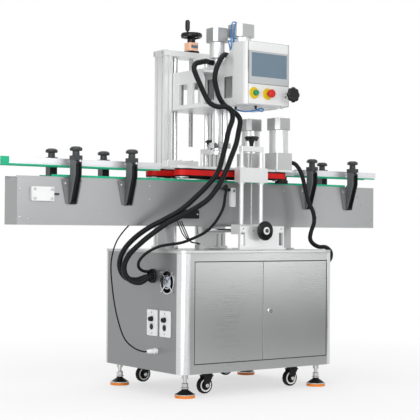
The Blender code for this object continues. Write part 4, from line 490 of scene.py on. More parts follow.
def turned(name, profile, base, direction, material, body, sides=32, lobes=0):
    """A turned piece: a disc is extruded up its axis and scaled at each step of (radius, height).
    With lobes, finger grooves are pressed into its rim at even angles and the piece is rounded."""
    radius, height = profile[0]
    bpy.ops.object.select_all(action="DESELECT")
    bpy.ops.mesh.primitive_circle_add(vertices=sides, radius=radius, fill_type="NGON", location=(0, 0, 0))
    piece = bpy.context.active_object
    bpy.ops.object.mode_set(mode="EDIT")
    bpy.ops.mesh.select_all(action="SELECT")
    bpy.ops.transform.translate(value=(0, 0, height))
    for wanted, level_z in profile[1:]:
        bpy.ops.mesh.extrude_region_move(TRANSFORM_OT_translate={"value": (0, 0, level_z - height)})
        factor = wanted / radius
        bpy.ops.transform.resize(value=(factor, factor, 1), center_override=(0, 0, level_z))
        radius, height = wanted, level_z
    bpy.ops.mesh.select_all(action="SELECT")
    bpy.ops.mesh.remove_doubles(threshold=0.000001)
    bpy.ops.mesh.normals_make_consistent(inside=False)
    bpy.ops.mesh.select_all(action="DESELECT")
    bpy.ops.object.mode_set(mode="OBJECT")
    if lobes:
        widest = max(radius for radius, height in profile)
        for vertex in piece.data.vertices:
            x, y, z = vertex.co
            vertex.select = math.cos(lobes * math.atan2(y, x)) < -0.3 and math.hypot(x, y) > 0.75 * widest
        bpy.ops.object.mode_set(mode="EDIT")
        bpy.ops.transform.resize(value=(GROOVE, GROOVE, 1), center_override=(0, 0, 0))
        bpy.ops.object.mode_set(mode="OBJECT")
        modifier = piece.modifiers.new("rounding", "SUBSURF")
        modifier.levels = modifier.render_levels = 1
        bpy.ops.object.modifier_apply(modifier=modifier.name)
    turn = Vector(direction).to_track_quat("Z", "Y").to_matrix().to_4x4()
    piece.matrix_world = Matrix.Translation(base) @ turn
    settle(piece, name, material, body)
    smooth(piece, 60 if lobes else 30)
    return piece


print("a finger groove leaves", GROOVE, "of a knob's radius")

# %% Blocks, frames and copies
def block(name, low, high, material, body, edge=0.0008):
    """A block with rounded edges between two corners."""
    bpy.ops.object.select_all(action="DESELECT")
    centre = (Vector(low) + Vector(high)) / 2
    bpy.ops.mesh.primitive_cube_add(size=1, location=centre)
    piece = bpy.context.active_object
    piece.scale = Vector(high) - Vector(low)
    settle(piece, name, material, body)
    round_edges(piece, edge)
    smooth(piece)
    flatten_shading(piece)
    return piece


def ring_frame(name, low, high, width, material, body):
    """A flat rectangular frame that faces the front, such as a gasket: a plate whose middle is cut out."""
    bpy.ops.object.select_all(action="DESELECT")
    bpy.ops.mesh.primitive_plane_add(size=1, location=(0, 0, 0))
    piece = bpy.context.active_object
    piece.scale = (high[0] - low[0], high[2] - low[2], 1)
    bpy.ops.object.transform_apply(location=False, rotation=False, scale=True)
    bpy.ops.object.mode_set(mode="EDIT")
    bpy.ops.mesh.select_all(action="SELECT")
    bpy.ops.mesh.inset(thickness=width)
    bpy.ops.mesh.delete(type="FACE")
    bpy.ops.mesh.select_all(action="SELECT")
    bpy.ops.mesh.extrude_region_move(TRANSFORM_OT_translate={"value": (0, 0, high[1] - low[1])})
    bpy.ops.mesh.select_all(action="SELECT")
    bpy.ops.mesh.normals_make_consistent(inside=False)
    bpy.ops.object.mode_set(mode="OBJECT")
    place = ((low[0] + high[0]) / 2, high[1], (low[2] + high[2]) / 2)
    piece.matrix_world = Matrix.Translation(place) @ Matrix.Rotation(math.pi / 2, 4, "X")
    return settle(piece, name, material, body)


def strewn(name, pattern, places, material, body):
    """Copies of one small piece, set at each place with its axis turned to a direction, as one object."""
    copies = []
    for place, direction in places:
        copy = bpy.data.objects.new(name, pattern.data.copy())
        bpy.context.scene.collection.objects.link(copy)
        turn = Vector(direction).to_track_quat("Z", "Y").to_matrix().to_4x4()
        copy.matrix_world = Matrix.Translation(place) @ turn
        copies.append(copy)
    only(*copies)
    bpy.ops.object.transform_apply(location=True, rotation=True, scale=True)
    bpy.ops.object.join()
    piece = bpy.context.active_object
    piece.name = name
    piece.data.materials.clear()
    piece.data.materials.append(material)
    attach(piece, body)
    return piece


def screw_pattern(radius, height):
    """A socket head screw that stands on z = 0, with a round socket sunk into its head."""
    bpy.ops.object.select_all(action="DESELECT")
    bpy.ops.mesh.primitive_cylinder_add(vertices=18, radius=radius, depth=height,
                                        location=(0, 0, height / 2))
    piece = bpy.context.active_object
    bpy.ops.object.transform_apply(location=True, rotation=True, scale=True)
    bpy.ops.object.mode_set(mode="EDIT")
    bpy.ops.mesh.select_all(action="DESELECT")
    bpy.ops.object.mode_set(mode="OBJECT")
    for face in piece.data.polygons:
        face.select = face.normal.z > 0.9
    bpy.ops.object.mode_set(mode="EDIT")
    bpy.ops.mesh.inset(thickness=radius * 0.16)
    bpy.ops.transform.translate(value=(0, 0, height * 0.12))
    bpy.ops.mesh.inset(thickness=radius * 0.30)
    bpy.ops.mesh.extrude_region_move(TRANSFORM_OT_translate={"value": (0, 0, -height * 0.6)})
    bpy.ops.object.mode_set(mode="OBJECT")
    smooth(piece)
    return piece


def many_turned(name, profile, places, material, body, sides=32):
    """One turned pattern, copied to each place and direction, as one object."""
    pattern = turned(name + "_pattern", profile, (0, 0, 0), (0, 0, 1), material, body, sides)
    piece = strewn(name, pattern, places, material, body)
    bpy.data.objects.remove(pattern)
    return piece


small_screw = screw_pattern(0.0036, 0.0024)
big_screw = screw_pattern(0.0055, 0.0040)
print("screw patterns of", len(small_screw.data.polygons), "faces")

# %% [markdown]
# ## The cables
# Two corrugated conduits carry the wires of the head and hang in a long curve to a gland in the cabinet's
# side. A thinner cable goes there from the bottle sensor, one goes from a plug to the back of the conveyor,
# and one from the belt's gear motor into the cabinet. A curve with a round bevel is the usual way: it has
# one centreline, which is the cable's length. The ribs of a conduit come from the points' radii in turn.

# %% Routes and cables
def smooth_route(route, spacing):
    """Points at an even spacing on a smooth curve through the route's own points."""
    points = [Vector(point) for point in route]
    dense = []
    for before, start, end, after in zip(points, points[1:], points[2:], points[3:]):
        for step in range(24):
            t = step / 24
            curve = 2 * start + (end - before) * t
            curve += (2 * before - 5 * start + 4 * end - after) * t * t
            curve += (3 * start - before - 3 * end + after) * t ** 3
            dense.append(curve / 2)
    dense.append(points[-2])
    dense = [points[0], *dense, points[-1]]
    total = sum((b - a).length for a, b in zip(dense, dense[1:]))
    count = round(total / spacing)
    even, walked = [dense[0]], 0
    for a, b in zip(dense, dense[1:]):
        length = (b - a).length
        while walked + length >= len(even) * total / count and len(even) < count:
            even.append(a.lerp(b, (len(even) * total / count - walked) / length))
        walked += length
    return [*even, dense[-1]]


def swept(name, points, radius, material, rib=0):
    """A round cord along its points. rib is how much thinner it is between two ribs."""
    curve = bpy.data.curves.new(name, "CURVE")
    curve.dimensions = "3D"
    curve.bevel_depth = radius
    curve.bevel_resolution = 4
    curve.use_fill_caps = True
    spline = curve.splines.new("POLY")
    spline.points.add(len(points) - 1)
    for i, (knot, point) in enumerate(zip(spline.points, points)):
        knot.co = (*point, 1)
        knot.radius = 1 - rib * (i % 4 in (2, 3))
    spline.use_smooth = True
    curve.materials.append(material)
    piece = bpy.data.objects.new(name, curve)
    bpy.context.scene.collection.objects.link(piece)
    return piece


def cable(name, node, route, radius, spacing, rib, material, span=None):
    """A cable along a route, which stands for a CAD cord. Given a span, it is turned into a mesh in place;
    the two bodies and the points in span are not used."""
    points = smooth_route(route, spacing)
    piece = swept(name, points, radius, material, rib)
    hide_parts(node)
    if span:
        only(piece)
        bpy.ops.object.convert(target="MESH")
        piece = bpy.context.active_object
        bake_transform(piece)
    else:
        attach(piece, "machine")
    return piece


GLAND_SEAT_X = -0.3336
LEFT_CONDUIT = [(0.0477, 0.015, 1.420), (0.034, 0.015, 1.420), (0.005, 0.002, 1.421)]
LEFT_CONDUIT += [(-0.030, -0.035, 1.414), (-0.072, -0.060, 1.404), (-0.112, -0.080, 1.392)]
LEFT_CONDUIT += [(-0.132, -0.095, 1.368), (-0.130, -0.110, 1.335), (-0.118, -0.125, 1.293)]
LEFT_CONDUIT += [(-0.106, -0.140, 1.252)]
LEFT_CONDUIT += [(-0.093, -0.157, 1.219), (-0.070, -0.178, 1.203), (-0.040, -0.196, 1.203)]
LEFT_CONDUIT += [(-0.014, -0.204, 1.188), (-0.008, -0.204, 1.150), (-0.024, -0.200, 1.104)]
LEFT_CONDUIT += [(-0.039, -0.199, 1.044), (-0.053, -0.194, 0.985), (-0.064, -0.185, 0.935)]
LEFT_CONDUIT += [(-0.089, -0.170, 0.890), (-0.146, -0.148, 0.827), (-0.217, -0.131, 0.766)]
LEFT_CONDUIT += [(-0.285, -0.113, 0.726), (-0.345, -0.088, 0.692), (-0.392, -0.058, 0.652)]
LEFT_CONDUIT += [(-0.425, -0.029, 0.607), (-0.440, -0.011, 0.560), (-0.436, -0.006, 0.515)]
LEFT_CONDUIT += [(-0.418, -0.020, 0.482), (-0.388, -0.050, 0.473), (-0.352, -0.0735, 0.486)]
LEFT_CONDUIT += [(GLAND_SEAT_X, -0.0735, 0.486)]
RIGHT_CONDUIT = [(0.1189, -0.0385, 1.436), (0.105, -0.0385, 1.436), (0.080, -0.060, 1.440)]
RIGHT_CONDUIT += [(0.050, -0.085, 1.442), (0.020, -0.104, 1.438), (-0.012, -0.128, 1.420)]
RIGHT_CONDUIT += [(-0.038, -0.143, 1.393), (-0.056, -0.150, 1.362), (-0.066, -0.155, 1.325)]
RIGHT_CONDUIT += [(-0.060, -0.158, 1.286)]
RIGHT_CONDUIT += [(-0.046, -0.160, 1.247), (-0.020, -0.164, 1.213), (0.015, -0.170, 1.192)]
RIGHT_CONDUIT += [(0.040, -0.178, 1.172), (0.046, -0.188, 1.146), (0.031, -0.196, 1.099)]
RIGHT_CONDUIT += [(0.013, -0.203, 1.047), (-0.016, -0.205, 0.986), (-0.036, -0.203, 0.938)]
RIGHT_CONDUIT += [(-0.066, -0.196, 0.877), (-0.106, -0.179, 0.817), (-0.163, -0.164, 0.775)]
RIGHT_CONDUIT += [(-0.230, -0.153, 0.740), (-0.293, -0.142, 0.709), (-0.350, -0.120, 0.667)]
RIGHT_CONDUIT += [(-0.395, -0.094, 0.624), (-0.428, -0.068, 0.582), (-0.445, -0.053, 0.538)]
RIGHT_CONDUIT += [(-0.440, -0.051, 0.497), (-0.418, -0.066, 0.470), (-0.388, -0.086, 0.464)]
RIGHT_CONDUIT += [(-0.352, -0.0975, 0.486), (GLAND_SEAT_X, -0.0975, 0.486)]
SENSOR_LEAD = [(0.0997, -0.046, 0.858), (0.088, -0.046, 0.858), (0.060, -0.060, 0.866)]
SENSOR_LEAD += [(0.020, -0.125, 0.872), (-0.012, -0.172, 0.858), (-0.030, -0.186, 0.825)]
SENSOR_LEAD += [(-0.040, -0.186, 0.775), (-0.074, -0.182, 0.719), (-0.122, -0.180, 0.676)]
SENSOR_LEAD += [(-0.188, -0.180, 0.647)]
SENSOR_LEAD += [(-0.250, -0.178, 0.628), (-0.310, -0.172, 0.620), (-0.355, -0.160, 0.610)]
SENSOR_LEAD += [(-0.395, -0.135, 0.583), (-0.412, -0.112, 0.552), (-0.404, -0.098, 0.526)]
SENSOR_LEAD += [(-0.376, -0.0885, 0.511), (-0.350, -0.0855, 0.508), (GLAND_SEAT_X, -0.0855, 0.508)]
PLUG_LEAD = [(-0.3776, -0.1205, 0.182), (-0.390, -0.1205, 0.182)]
PLUG_LEAD += [(-0.422, -0.095, 0.197), (-0.440, -0.045, 0.237), (-0.440, 0.015, 0.330)]
PLUG_LEAD += [(-0.434, 0.060, 0.440), (-0.421, 0.092, 0.540), (-0.390, 0.108, 0.620)]
PLUG_LEAD += [(-0.345, 0.114, 0.676), (-0.300, 0.110, 0.715), (-0.262, 0.098, 0.738)]
PLUG_LEAD += [(-0.249, 0.0788, 0.745), (-0.249, 0.0688, 0.745)]
MOTOR_LEAD = [(0.4173, -0.060, 0.990), (0.428, -0.060, 0.990), (0.446, -0.078, 0.984)]
MOTOR_LEAD += [(0.458, -0.103, 0.948), (0.478, -0.108, 0.885), (0.497, -0.110, 0.820)]
MOTOR_LEAD += [(0.516, -0.124, 0.765), (0.518, -0.128, 0.720), (0.503, -0.126, 0.680)]
MOTOR_LEAD += [(0.486, -0.138, 0.648), (0.478, -0.166, 0.625), (0.484, -0.200, 0.6105)]
MOTOR_LEAD += [(0.502, -0.226, 0.609), (0.520, -0.237, 0.590), (0.522, -0.236, 0.562)]
MOTOR_LEAD += [(0.502, -0.235, 0.540), (0.4903, -0.235, 0.540)]

WITH_HEAD = ("machine", "head", (0, 0, 0.50), (0, 0, 1.40))
WITH_MOTOR = ("front_posts", "front_belt_unit", (0, 0, 0.56), (0, 0, 0.95))
CONDUIT, LEAD = 0.0118, 0.0064
cable("conduit_left_ribbed", "conduit_left", LEFT_CONDUIT, CONDUIT, 0.002, 0.12, conduit_black, WITH_HEAD)
cable("conduit_right_ribbed", "conduit_right", RIGHT_CONDUIT, CONDUIT, 0.002, 0.12, conduit_black,
      WITH_HEAD)
cable("sensor_lead", "spiral_cable", SENSOR_LEAD, LEAD, 0.0015, 0.10, cable_black)
cable("plug_lead", "sensor_cable", PLUG_LEAD, 0.003, 0.006, 0, cable_black)
cable("motor_lead", "motor_cable", MOTOR_LEAD, 0.0100, 0.002, 0.10, conduit_black, WITH_MOTOR)

# %% [markdown]
# ## The cabinet
# The cabinet is folded from brushed stainless sheet. In the CAD model it is one shell with its levelling
# feet, so posts, front and feet are told apart by where their faces lie: the rounded posts carry a painted
# highlight, and the front is painted lighter than the sides. The gap around the doors could be left to the
# shadow, but it is too narrow to turn dark, so a black strip lies in it as a painted shadow.

# %% Cabinet, table and doors
shell_low, shell_high = corners("cabinet_shell")
PAD_TOP, CONE_TOP, STEM_TOP = 0.0125, 0.0385, 0.0965


def foot_zone(low, high):
    return lambda centre, normal: low <= centre.z < high


def on_highlight_corner(centre, normal):
    """The rounded corners of the cabinet, which turn neither straight ahead nor straight aside. They are
    painted bright, as a highlight.
    """
    return centre.z > STEM_TOP and max(abs(normal.x), abs(normal.y), abs(normal.z)) < 0.995


def on_lighter_front(centre, normal):
    """The front around the doors, painted in the doors' lighter tone as the lit side."""
    return centre.z > STEM_TOP and normal.y < -0.995


# The rounded corners are painted bright as a highlight, and the front is painted lighter than the sides.
dress("cabinet_shell", steel, (foot_orange, foot_zone(-1, PAD_TOP)), (nylon, foot_zone(PAD_TOP, CONE_TOP)),
      (zinc, foot_zone(CONE_TOP, STEM_TOP)), (corner_steel_painted_highlight, on_highlight_corner), (front_steel_painted_lighter, on_lighter_front), edge=0.0004)
DOOR_LOW, DOOR_HIGH = (-0.2634, 0.139), (0.4396, 0.551)
REVEAL = 0.0032
# A black strip in the gap around the doors, as painted shadow.
ring_frame("door_reveal", (DOOR_LOW[0] - REVEAL, shell_low.y - 0.0003, DOOR_LOW[1] - REVEAL),
           (DOOR_HIGH[0] + REVEAL, shell_low.y + 0.0010, DOOR_HIGH[1] + REVEAL), REVEAL,
           gap_painted_shadow, "machine")
dress("table_top", table_steel, edge=0.0012)
# The doors are painted in the front's lighter tone, as the lit side.
dress("left_door", front_steel_painted_lighter, edge=0.0014)
dress("right_door", front_steel_painted_lighter, edge=0.0014)
dress("door_lock", chrome, edge=0.0004)
print("cabinet from", round(shell_low.z, 3), "to", round(shell_high.z, 3), "m")

# %% [markdown]
# ## The castors and the feet
# The cabinet stands on four feet with orange pads, and rolls on castors once the feet are raised. Each
# castor has a rubber tyre beside a white ring. The ring could be painted on the wheel, but it stands out,
# so a flattened torus is sunk into each side. Nuts, trims and sockets are turned once and copied.

# %% Castors and feet
WHEEL_HUB = 0.0095
RING_RADIUS, RING_THICKNESS, RING_FLATNESS = 0.0242, 0.0034, 0.35
RING_SINK = 0.0006
NUT_SEAT = 0.0195
for number in range(1, 5):
    low, high = corners(f"caster_wheel_{number}")
    axle = (low + high) / 2

    def within(radius, axle=axle):
        return lambda centre, normal: math.hypot(centre.x - axle.x, centre.z - axle.z) < radius

    dress(f"caster_wheel_{number}", tyre, (zinc, within(WHEEL_HUB)), edge=0.0008)
    dress(f"caster_fork_{number}", nylon, (zinc, within(0.005)), edge=0.0005)
    rings = []
    for side_y in (low.y + RING_SINK, high.y - RING_SINK):
        bpy.ops.object.select_all(action="DESELECT")
        bpy.ops.mesh.primitive_torus_add(major_radius=RING_RADIUS, minor_radius=RING_THICKNESS,
                                         major_segments=40, minor_segments=8, location=(0, 0, 0))
        ring = bpy.context.active_object
        bpy.ops.object.mode_set(mode="EDIT")
        bpy.ops.mesh.select_all(action="SELECT")
        bpy.ops.transform.resize(value=(1, 1, RING_FLATNESS))
        bpy.ops.object.mode_set(mode="OBJECT")
        place = Matrix.Translation((axle.x, side_y, axle.z))
        ring.matrix_world = place @ Matrix.Rotation(math.pi / 2, 4, "X")
        rings.append(ring)
    only(*rings)
    bpy.ops.object.transform_apply(location=True, rotation=True, scale=True)
    bpy.ops.object.join()
    ring = settle(bpy.context.active_object, f"caster_ring_{number}", wheel_white, f"caster_wheel_{number}")
    smooth(ring, 60)
    nuts = [((axle.x, axle.y + side * NUT_SEAT, axle.z), (0, side, 0)) for side in (-1, 1)]
    many_turned(f"caster_axle_nuts_{number}", [(0.0085, -0.003), (0.0085, 0.0035), (0.0065, 0.0050)], nuts,
                zinc, f"caster_fork_{number}", 18)
FOOT_X, FOOT_Y = (-0.272, 0.430), (-0.2455, 0.2555)
feet = [((x, y, 0), (0, 0, 1)) for x in FOOT_X for y in FOOT_Y]
TRIM = [(0.0416, 0.0118), (0.0420, 0.0122), (0.0420, 0.0150), (0.0412, 0.0156)]
many_turned("foot_trims", TRIM, feet, zinc, "machine", 48)
SOCKET = [(0.0170, 0.037), (0.0170, 0.041), (0.0135, 0.043), (0.0135, 0.058), (0.0100, 0.060)]
many_turned("foot_sockets", SOCKET, feet, zinc, "machine", 6)
print("four castors and", len(feet), "feet")

# %% [markdown]
# ## The cabinet's left side
# A fan behind a wire guard, a cable gland, two speed controllers in white plates, and a plug. The rocker
# switch and the dial's scale could be drawn in the finish, but they stand out from the plate, so they are
# small pieces in front of it.

# %% Side fittings
fan_low, fan_high = corners("fan_frame")
fan_middle = Vector((fan_low.x, (fan_low.y + fan_high.y) / 2, (fan_low.z + fan_high.z) / 2))
GUARD_DEPTH, PLATE_DEPTH = 0.0045, 0.0042


def on_guard(centre, normal):
    return centre.x < fan_low.x + GUARD_DEPTH


dress("fan_frame", nylon, (chrome, on_guard), edge=0.0003)
dress("fan_rotor", nylon, edge=0.0003)
dress("cable_gland", nylon, edge=0.0008)
dress("sensor_plug", ivory, edge=0.0005)
ROCKER_Z = 0.281
for number in (1, 2):
    face_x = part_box(f"speed_panel_{number}")[0][0] + PLATE_DEPTH

    def on_rocker(centre, normal, face_x=face_x):
        return centre.x < face_x - 0.0004

    dress(f"speed_panel_{number}", ivory, (phenolic, on_rocker), edge=0.0007)
    dress(f"speed_knob_{number}", phenolic, edge=0.0005)
    low, high = corners(f"speed_panel_{number}")
    middle_y = (low.y + high.y) / 2
    screws = [((face_x, middle_y, z), (-1, 0, 0)) for z in (low.z + 0.011, high.z - 0.011)]
    strewn(f"speed_panel_screws_{number}", small_screw, screws, zinc, "machine")
    knob_low, knob_high = corners(f"speed_knob_{number}")
    turned(f"speed_scale_{number}", [(0.0115, -0.0002), (0.0115, 0.0006), (0.0108, 0.0008)],
           (face_x, middle_y, (knob_low.z + knob_high.z) / 2), (-1, 0, 0), phenolic, "machine",
           40)
    block(f"speed_rocker_{number}", (low.x - 0.0003, middle_y - 0.0055, ROCKER_Z - 0.0120),
          (face_x + 0.0005, middle_y + 0.0055, ROCKER_Z + 0.0120), phenolic, "machine",
          0.0006)
turned("fan_hub_disc", [(0.0225, -0.0004), (0.0225, 0.0012), (0.0205, 0.0022), (0.0060, 0.0026)],
       (fan_low.x + 0.0060, fan_middle.y, fan_middle.z), (-1, 0, 0), hub_label, "fan_rotor",
       40)
fan_corners = [((fan_low.x + 0.0012, y, z), (-1, 0, 0)) for y in (fan_low.y + 0.009, fan_high.y - 0.009)
               for z in (fan_low.z + 0.009, fan_high.z - 0.009)]
strewn("fan_screws", small_screw, fan_corners, zinc, "machine")
print("the fan is", round(fan_high.z - fan_low.z, 3), "m high")

# %% [markdown]
# ## The conveyor
# Two folded side plates carry a slat chain over drums. Moulded black brackets bolt to the plates and hold
# the guide rails, and a green plastic strip keeps the chain off the plates' upper edge. All of it is one
# CAD piece. It could be taken apart into pieces, but painting it by zones keeps every joint closed.

# %% Conveyor frame, chain and rails
LINE_Y, HALF_WIDTH = 0.015, 0.0535
PANEL_TOP = 0.8896
NEAR_BRACKETS = (-0.689, -0.426, 0.552, 0.8035)
FAR_BRACKETS = (-0.704, -0.456, 0.515, 0.767)
STRIP_LEFT, STRIP_RIGHT = -0.777, 0.788
BEARING = (-0.875, -0.745)
ARM_HALF, ARM_TOP = 0.0165, 0.9560
STUD_LEFT = -0.7735


def on_bracket(centre, normal):
    across = abs(centre.y - LINE_Y) - HALF_WIDTH
    brackets = NEAR_BRACKETS if centre.y < LINE_Y else FAR_BRACKETS
    return across > 0.0001 and any(abs(centre.x - x) < 0.050 for x in brackets)


def from_bracket(centre):
    """How far a face lies to the right of the nearest bracket's middle."""
    brackets = NEAR_BRACKETS if centre.y < LINE_Y else FAR_BRACKETS
    return min((centre.x - x for x in brackets), key=abs)


def on_web(centre, normal):
    across = abs(centre.y - LINE_Y) - HALF_WIDTH
    return on_bracket(centre, normal) and across < 0.0052 and centre.z < PANEL_TOP


def on_lit_arm_side(centre, normal):
    return on_bracket(centre, normal) and centre.z < ARM_TOP and from_bracket(centre) < 0.0062 - ARM_HALF


def on_knob(centre, normal):
    return on_bracket(centre, normal) and centre.z > ARM_TOP


def on_bearing(centre, normal):
    across = abs(centre.y - LINE_Y) - HALF_WIDTH
    return across > 0.0001 and BEARING[0] < centre.x < BEARING[1]


def on_stud(centre, normal):
    return on_bearing(centre, normal) and centre.x > STUD_LEFT


def on_strip(centre, normal):
    along = STRIP_LEFT - 0.001 < centre.x < STRIP_RIGHT + 0.001
    return along and centre.z > PANEL_TOP + 0.0001 and abs(centre.y - LINE_Y) < HALF_WIDTH + 0.0001


# The brackets' arm sides that face the light are painted grey, as a lit side.
dress("conveyor_frame", steel_line, (bracket_web, on_web), (bracket_painted_lit_side, on_lit_arm_side),
      (bracket_knob, on_knob), (nylon, on_bracket), (bracket_knob, on_stud),
      (enamel, on_bearing), (green, on_strip), edge=0.0005)
dress("conveyor_chain", ivory, edge=0)
STRIP_TOP = 0.9365
END_CAP = -0.960
RAIL_INNER, BAR_DEPTH = 0.034, 0.0104
for name in ("near_left", "far_left", "near_right", "far_right"):
    node = "guide_rail_" + name
    side = -1 if name.startswith("near") else 1
    inner = LINE_Y + side * RAIL_INNER

    def on_rod(centre, normal, inner=inner, side=side):
        return side * (centre.y - inner) > BAR_DEPTH

    capped = name == "near_left"

    def on_foot(centre, normal, capped=capped):
        return centre.z < STRIP_TOP or (capped and centre.x < END_CAP)

    ends = [((0, 0, STRIP_TOP), (0, 0, 1))]
    if capped:
        ends.append(((END_CAP, 0, 0), (1, 0, 0)))
    dress(node, alloy_bar, (chrome, on_rod), (green, on_foot), edge=0.0005, cuts=ends)
print("conveyor dressed")

# %% [markdown]
# The plates are held by small screws. Their places were read off the photograph and are the same on the
# far plate. The bearing blocks have four bolts each, and each bracket has two. Each could be an object of
# its own, but the copies of one kind are joined, which keeps the list of objects short.

# %% Conveyor screws
PLATE_SCREWS = [(-0.918, 0.836), (-0.919, 0.726), (-0.884, 0.720), (-0.553, 0.743), (-0.3134, 0.864)]
PLATE_SCREWS += [(-0.3154, 0.808), (0.4118, 0.861), (0.611, 0.744), (0.892, 0.804), (0.872, 0.845)]
PLATE_SCREWS += [(0.941, 0.722), (0.962, 0.740), (0.962, 0.840)]
BEARING_BOLTS = [(-0.861, 0.838), (-0.785, 0.838), (-0.861, 0.802), (-0.785, 0.802)]
front_face, rear_face = LINE_Y - HALF_WIDTH, LINE_Y + HALF_WIDTH
plates = [((x, front_face, z), (0, -1, 0)) for x, z in PLATE_SCREWS]
plates += [((x, rear_face, z), (0, 1, 0)) for x, z in PLATE_SCREWS]
strewn("conveyor_plate_screws", small_screw, plates, zinc, "machine")
BEARING_DEPTH = 0.014
bolts = [((x, front_face - BEARING_DEPTH, z), (0, -1, 0)) for x, z in BEARING_BOLTS]
bolts += [((x, rear_face + BEARING_DEPTH, z), (0, 1, 0)) for x, z in BEARING_BOLTS]
strewn("bearing_bolts", big_screw, bolts, zinc, "machine")
WEB_OFFSETS, WEB_DEPTH, WEB_Z = (-0.031, 0.031), 0.005, 0.864
web = [((x + dx, front_face - WEB_DEPTH, WEB_Z), (0, -1, 0)) for x in NEAR_BRACKETS for dx in WEB_OFFSETS]
web += [((x + dx, rear_face + WEB_DEPTH, WEB_Z), (0, 1, 0)) for x in FAR_BRACKETS for dx in WEB_OFFSETS]
strewn("bracket_bolts", big_screw, web, zinc, "machine")
print(len(plates) + len(bolts) + len(web), "screws on the conveyor")

# %% [markdown]
# ## The gantry and the lift
# Slotted aluminium columns carry the bridge, and the head rides on two hard chromed rods. The lift screw
# runs in a nut in the arm. Its thread is too fine to model, so its rings are drawn in the finish.

# %% Gantry, counter and handwheel
GANTRY = Vector((0.072, 0.2165, 0))
ROD_OFFSET = 0.0887
BRIDGE_LOW = 1.4579
# A rod or a screw is told from its neighbours by the distance from its axis, a little over its radius.
ROD_REACH, LIFT_SCREW_REACH = 0.0135, 0.0104


def on_guide_rod(centre, normal):
    near = min(math.hypot(centre.x - GANTRY.x - side * ROD_OFFSET, centre.y - GANTRY.y) for side in (-1, 1))
    return near < ROD_REACH and centre.z < BRIDGE_LOW


dress("lift_gantry", alloy, (chrome, on_guide_rod), edge=0.0005)
counter_low = corners("position_counter")[0]
BASE_TOP = counter_low.z + 0.0118
dress("position_counter", orange, (nylon, lambda centre, normal: centre.z < BASE_TOP), edge=0.0012)
block("counter_window", (GANTRY.x - 0.018, counter_low.y + 0.0002, BASE_TOP + 0.012),
      (GANTRY.x + 0.018, counter_low.y + 0.0030, BASE_TOP + 0.026), glass, "machine",
      0.0006)

# A rolled thread: fine rings. A real pitch is 2 mm, drawn as 4 mm so that it shows.
thread = surface("rolled_lift_thread", "#b8b9ba", 0.9, 0.24, (60, 60, 1.0), 0.10, 0.05)
thread_tree = thread.node_tree
place = add(thread_tree, "TexCoord")
THREAD_PITCH = 0.004
BANDS_PER_UNIT = 0.314
bands = {"wave_type": "BANDS", "bands_direction": "Z", "Scale": BANDS_PER_UNIT / THREAD_PITCH}
rings = add(thread_tree, "TexWave", bands, Vector=place.outputs["Object"])
grooves = add(thread_tree, "Bump", {"Strength": 0.9, "Distance": 0.0008}, Height=rings.outputs["Fac"])
thread_tree.links.new(grooves.outputs[0], thread_tree.nodes["Principled BSDF"].inputs["Normal"])


HUB_LOW, HUB_TOP = 1.5330, 1.5690


def on_lift_screw(centre, normal):
    across = math.hypot(centre.x - GANTRY.x, centre.y - GANTRY.y)
    return across < LIFT_SCREW_REACH and centre.z < HUB_LOW


dress("lift_handwheel", phenolic, (thread, on_lift_screw), edge=0.0008)
turned("handwheel_nut", [(0.0085, 0), (0.0085, 0.007), (0.0060, 0.009)], (GANTRY.x, GANTRY.y, HUB_TOP),
       (0, 0, 1), zinc, "lift_handwheel", 6)
bridge_screws = [((GANTRY.x + dx, GANTRY.y + dy, 1.4833), (0, 0, 1))
                 for dx in (-0.1517, 0.1517) for dy in (-0.028, 0.028)]
bridge_screws += [((-0.1047, GANTRY.y + dy, 1.4705), (-1, 0, 0)) for dy in (-0.032, 0.032)]
strewn("bridge_screws", big_screw, bridge_screws, zinc, "machine")
print("gantry dressed")

# %% [markdown]
# ## The capping head
# Milled aluminium plates make the arm and the housing. Two motors stand on the housing, each with a turned
# shell and an eight-sided cap whose facets catch the light in turn. Each motor could be painted by hand, but
# the machine's four differ only in their heights, so one function paints them all.

# %% Arm, housing and motors
dress("head_carriage", alloy, edge=0.0006)
housing_low, housing_high = corners("head_housing")
WALL, CAVITY_TOP = 0.0085, 1.390


def in_cavity(centre, normal):
    across = housing_low.x + 0.0012 < centre.x < housing_high.x - WALL
    along = housing_low.y + WALL < centre.y < housing_high.y - WALL
    return across and along and housing_low.z + WALL < centre.z < CAVITY_TOP and abs(normal.x) < 0.5


# The housing's inside is painted dark, as shade.
dress("head_housing", alloy, (cavity_painted_shade, in_cavity), edge=0.0006)
dress("stroke_carriage", chrome, edge=0.0005)
dress("capping_chuck", chrome, edge=0.0006)


def motor(node, axis, neck_top, cap_low, half, body):
    """Paints a motor's box, shell and cap, and adds four screws at half the cap's width from its axis."""
    dress(node, casting, (motor_shell, lambda centre, normal: neck_top < centre.z < cap_low),
          (motor_cap, lambda centre, normal: centre.z >= cap_low), edge=0.0010)
    cap_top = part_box(node)[1][2]
    heads = [((axis[0] + dx, axis[1] + dy, cap_top), (0, 0, 1))
             for dx in (-half, half) for dy in (-half, half)]
    strewn(node + "_cap_screws", small_screw, heads, zinc, body)


motor("capping_motor", (0.070, 0.015), 1.4413, 1.5100, 0.0260, "head")
motor("stroke_motor", (0.163, -0.0385), 1.4085, 1.5340, 0.0325, "head")
motor("front_gear_motor", (0.372, -0.0485), 1.0311, 1.1340, 0.0325, "front_belt_unit")
motor("rear_gear_motor", (0.309, 0.0785), 1.0311, 1.1340, 0.0325, "rear_belt_unit")
print("four motors dressed")

# %% [markdown]
# ## The control box
# A powder coated case with a touch screen, a green and a red button in yellow collars, and a clamping knob.
# The collars belong to the case in the CAD model, so they are zones of its dressed copy. The knob could be
# rounded from the CAD model's plain disc, but it would lack its lobes, so a new grip is turned and grooved.

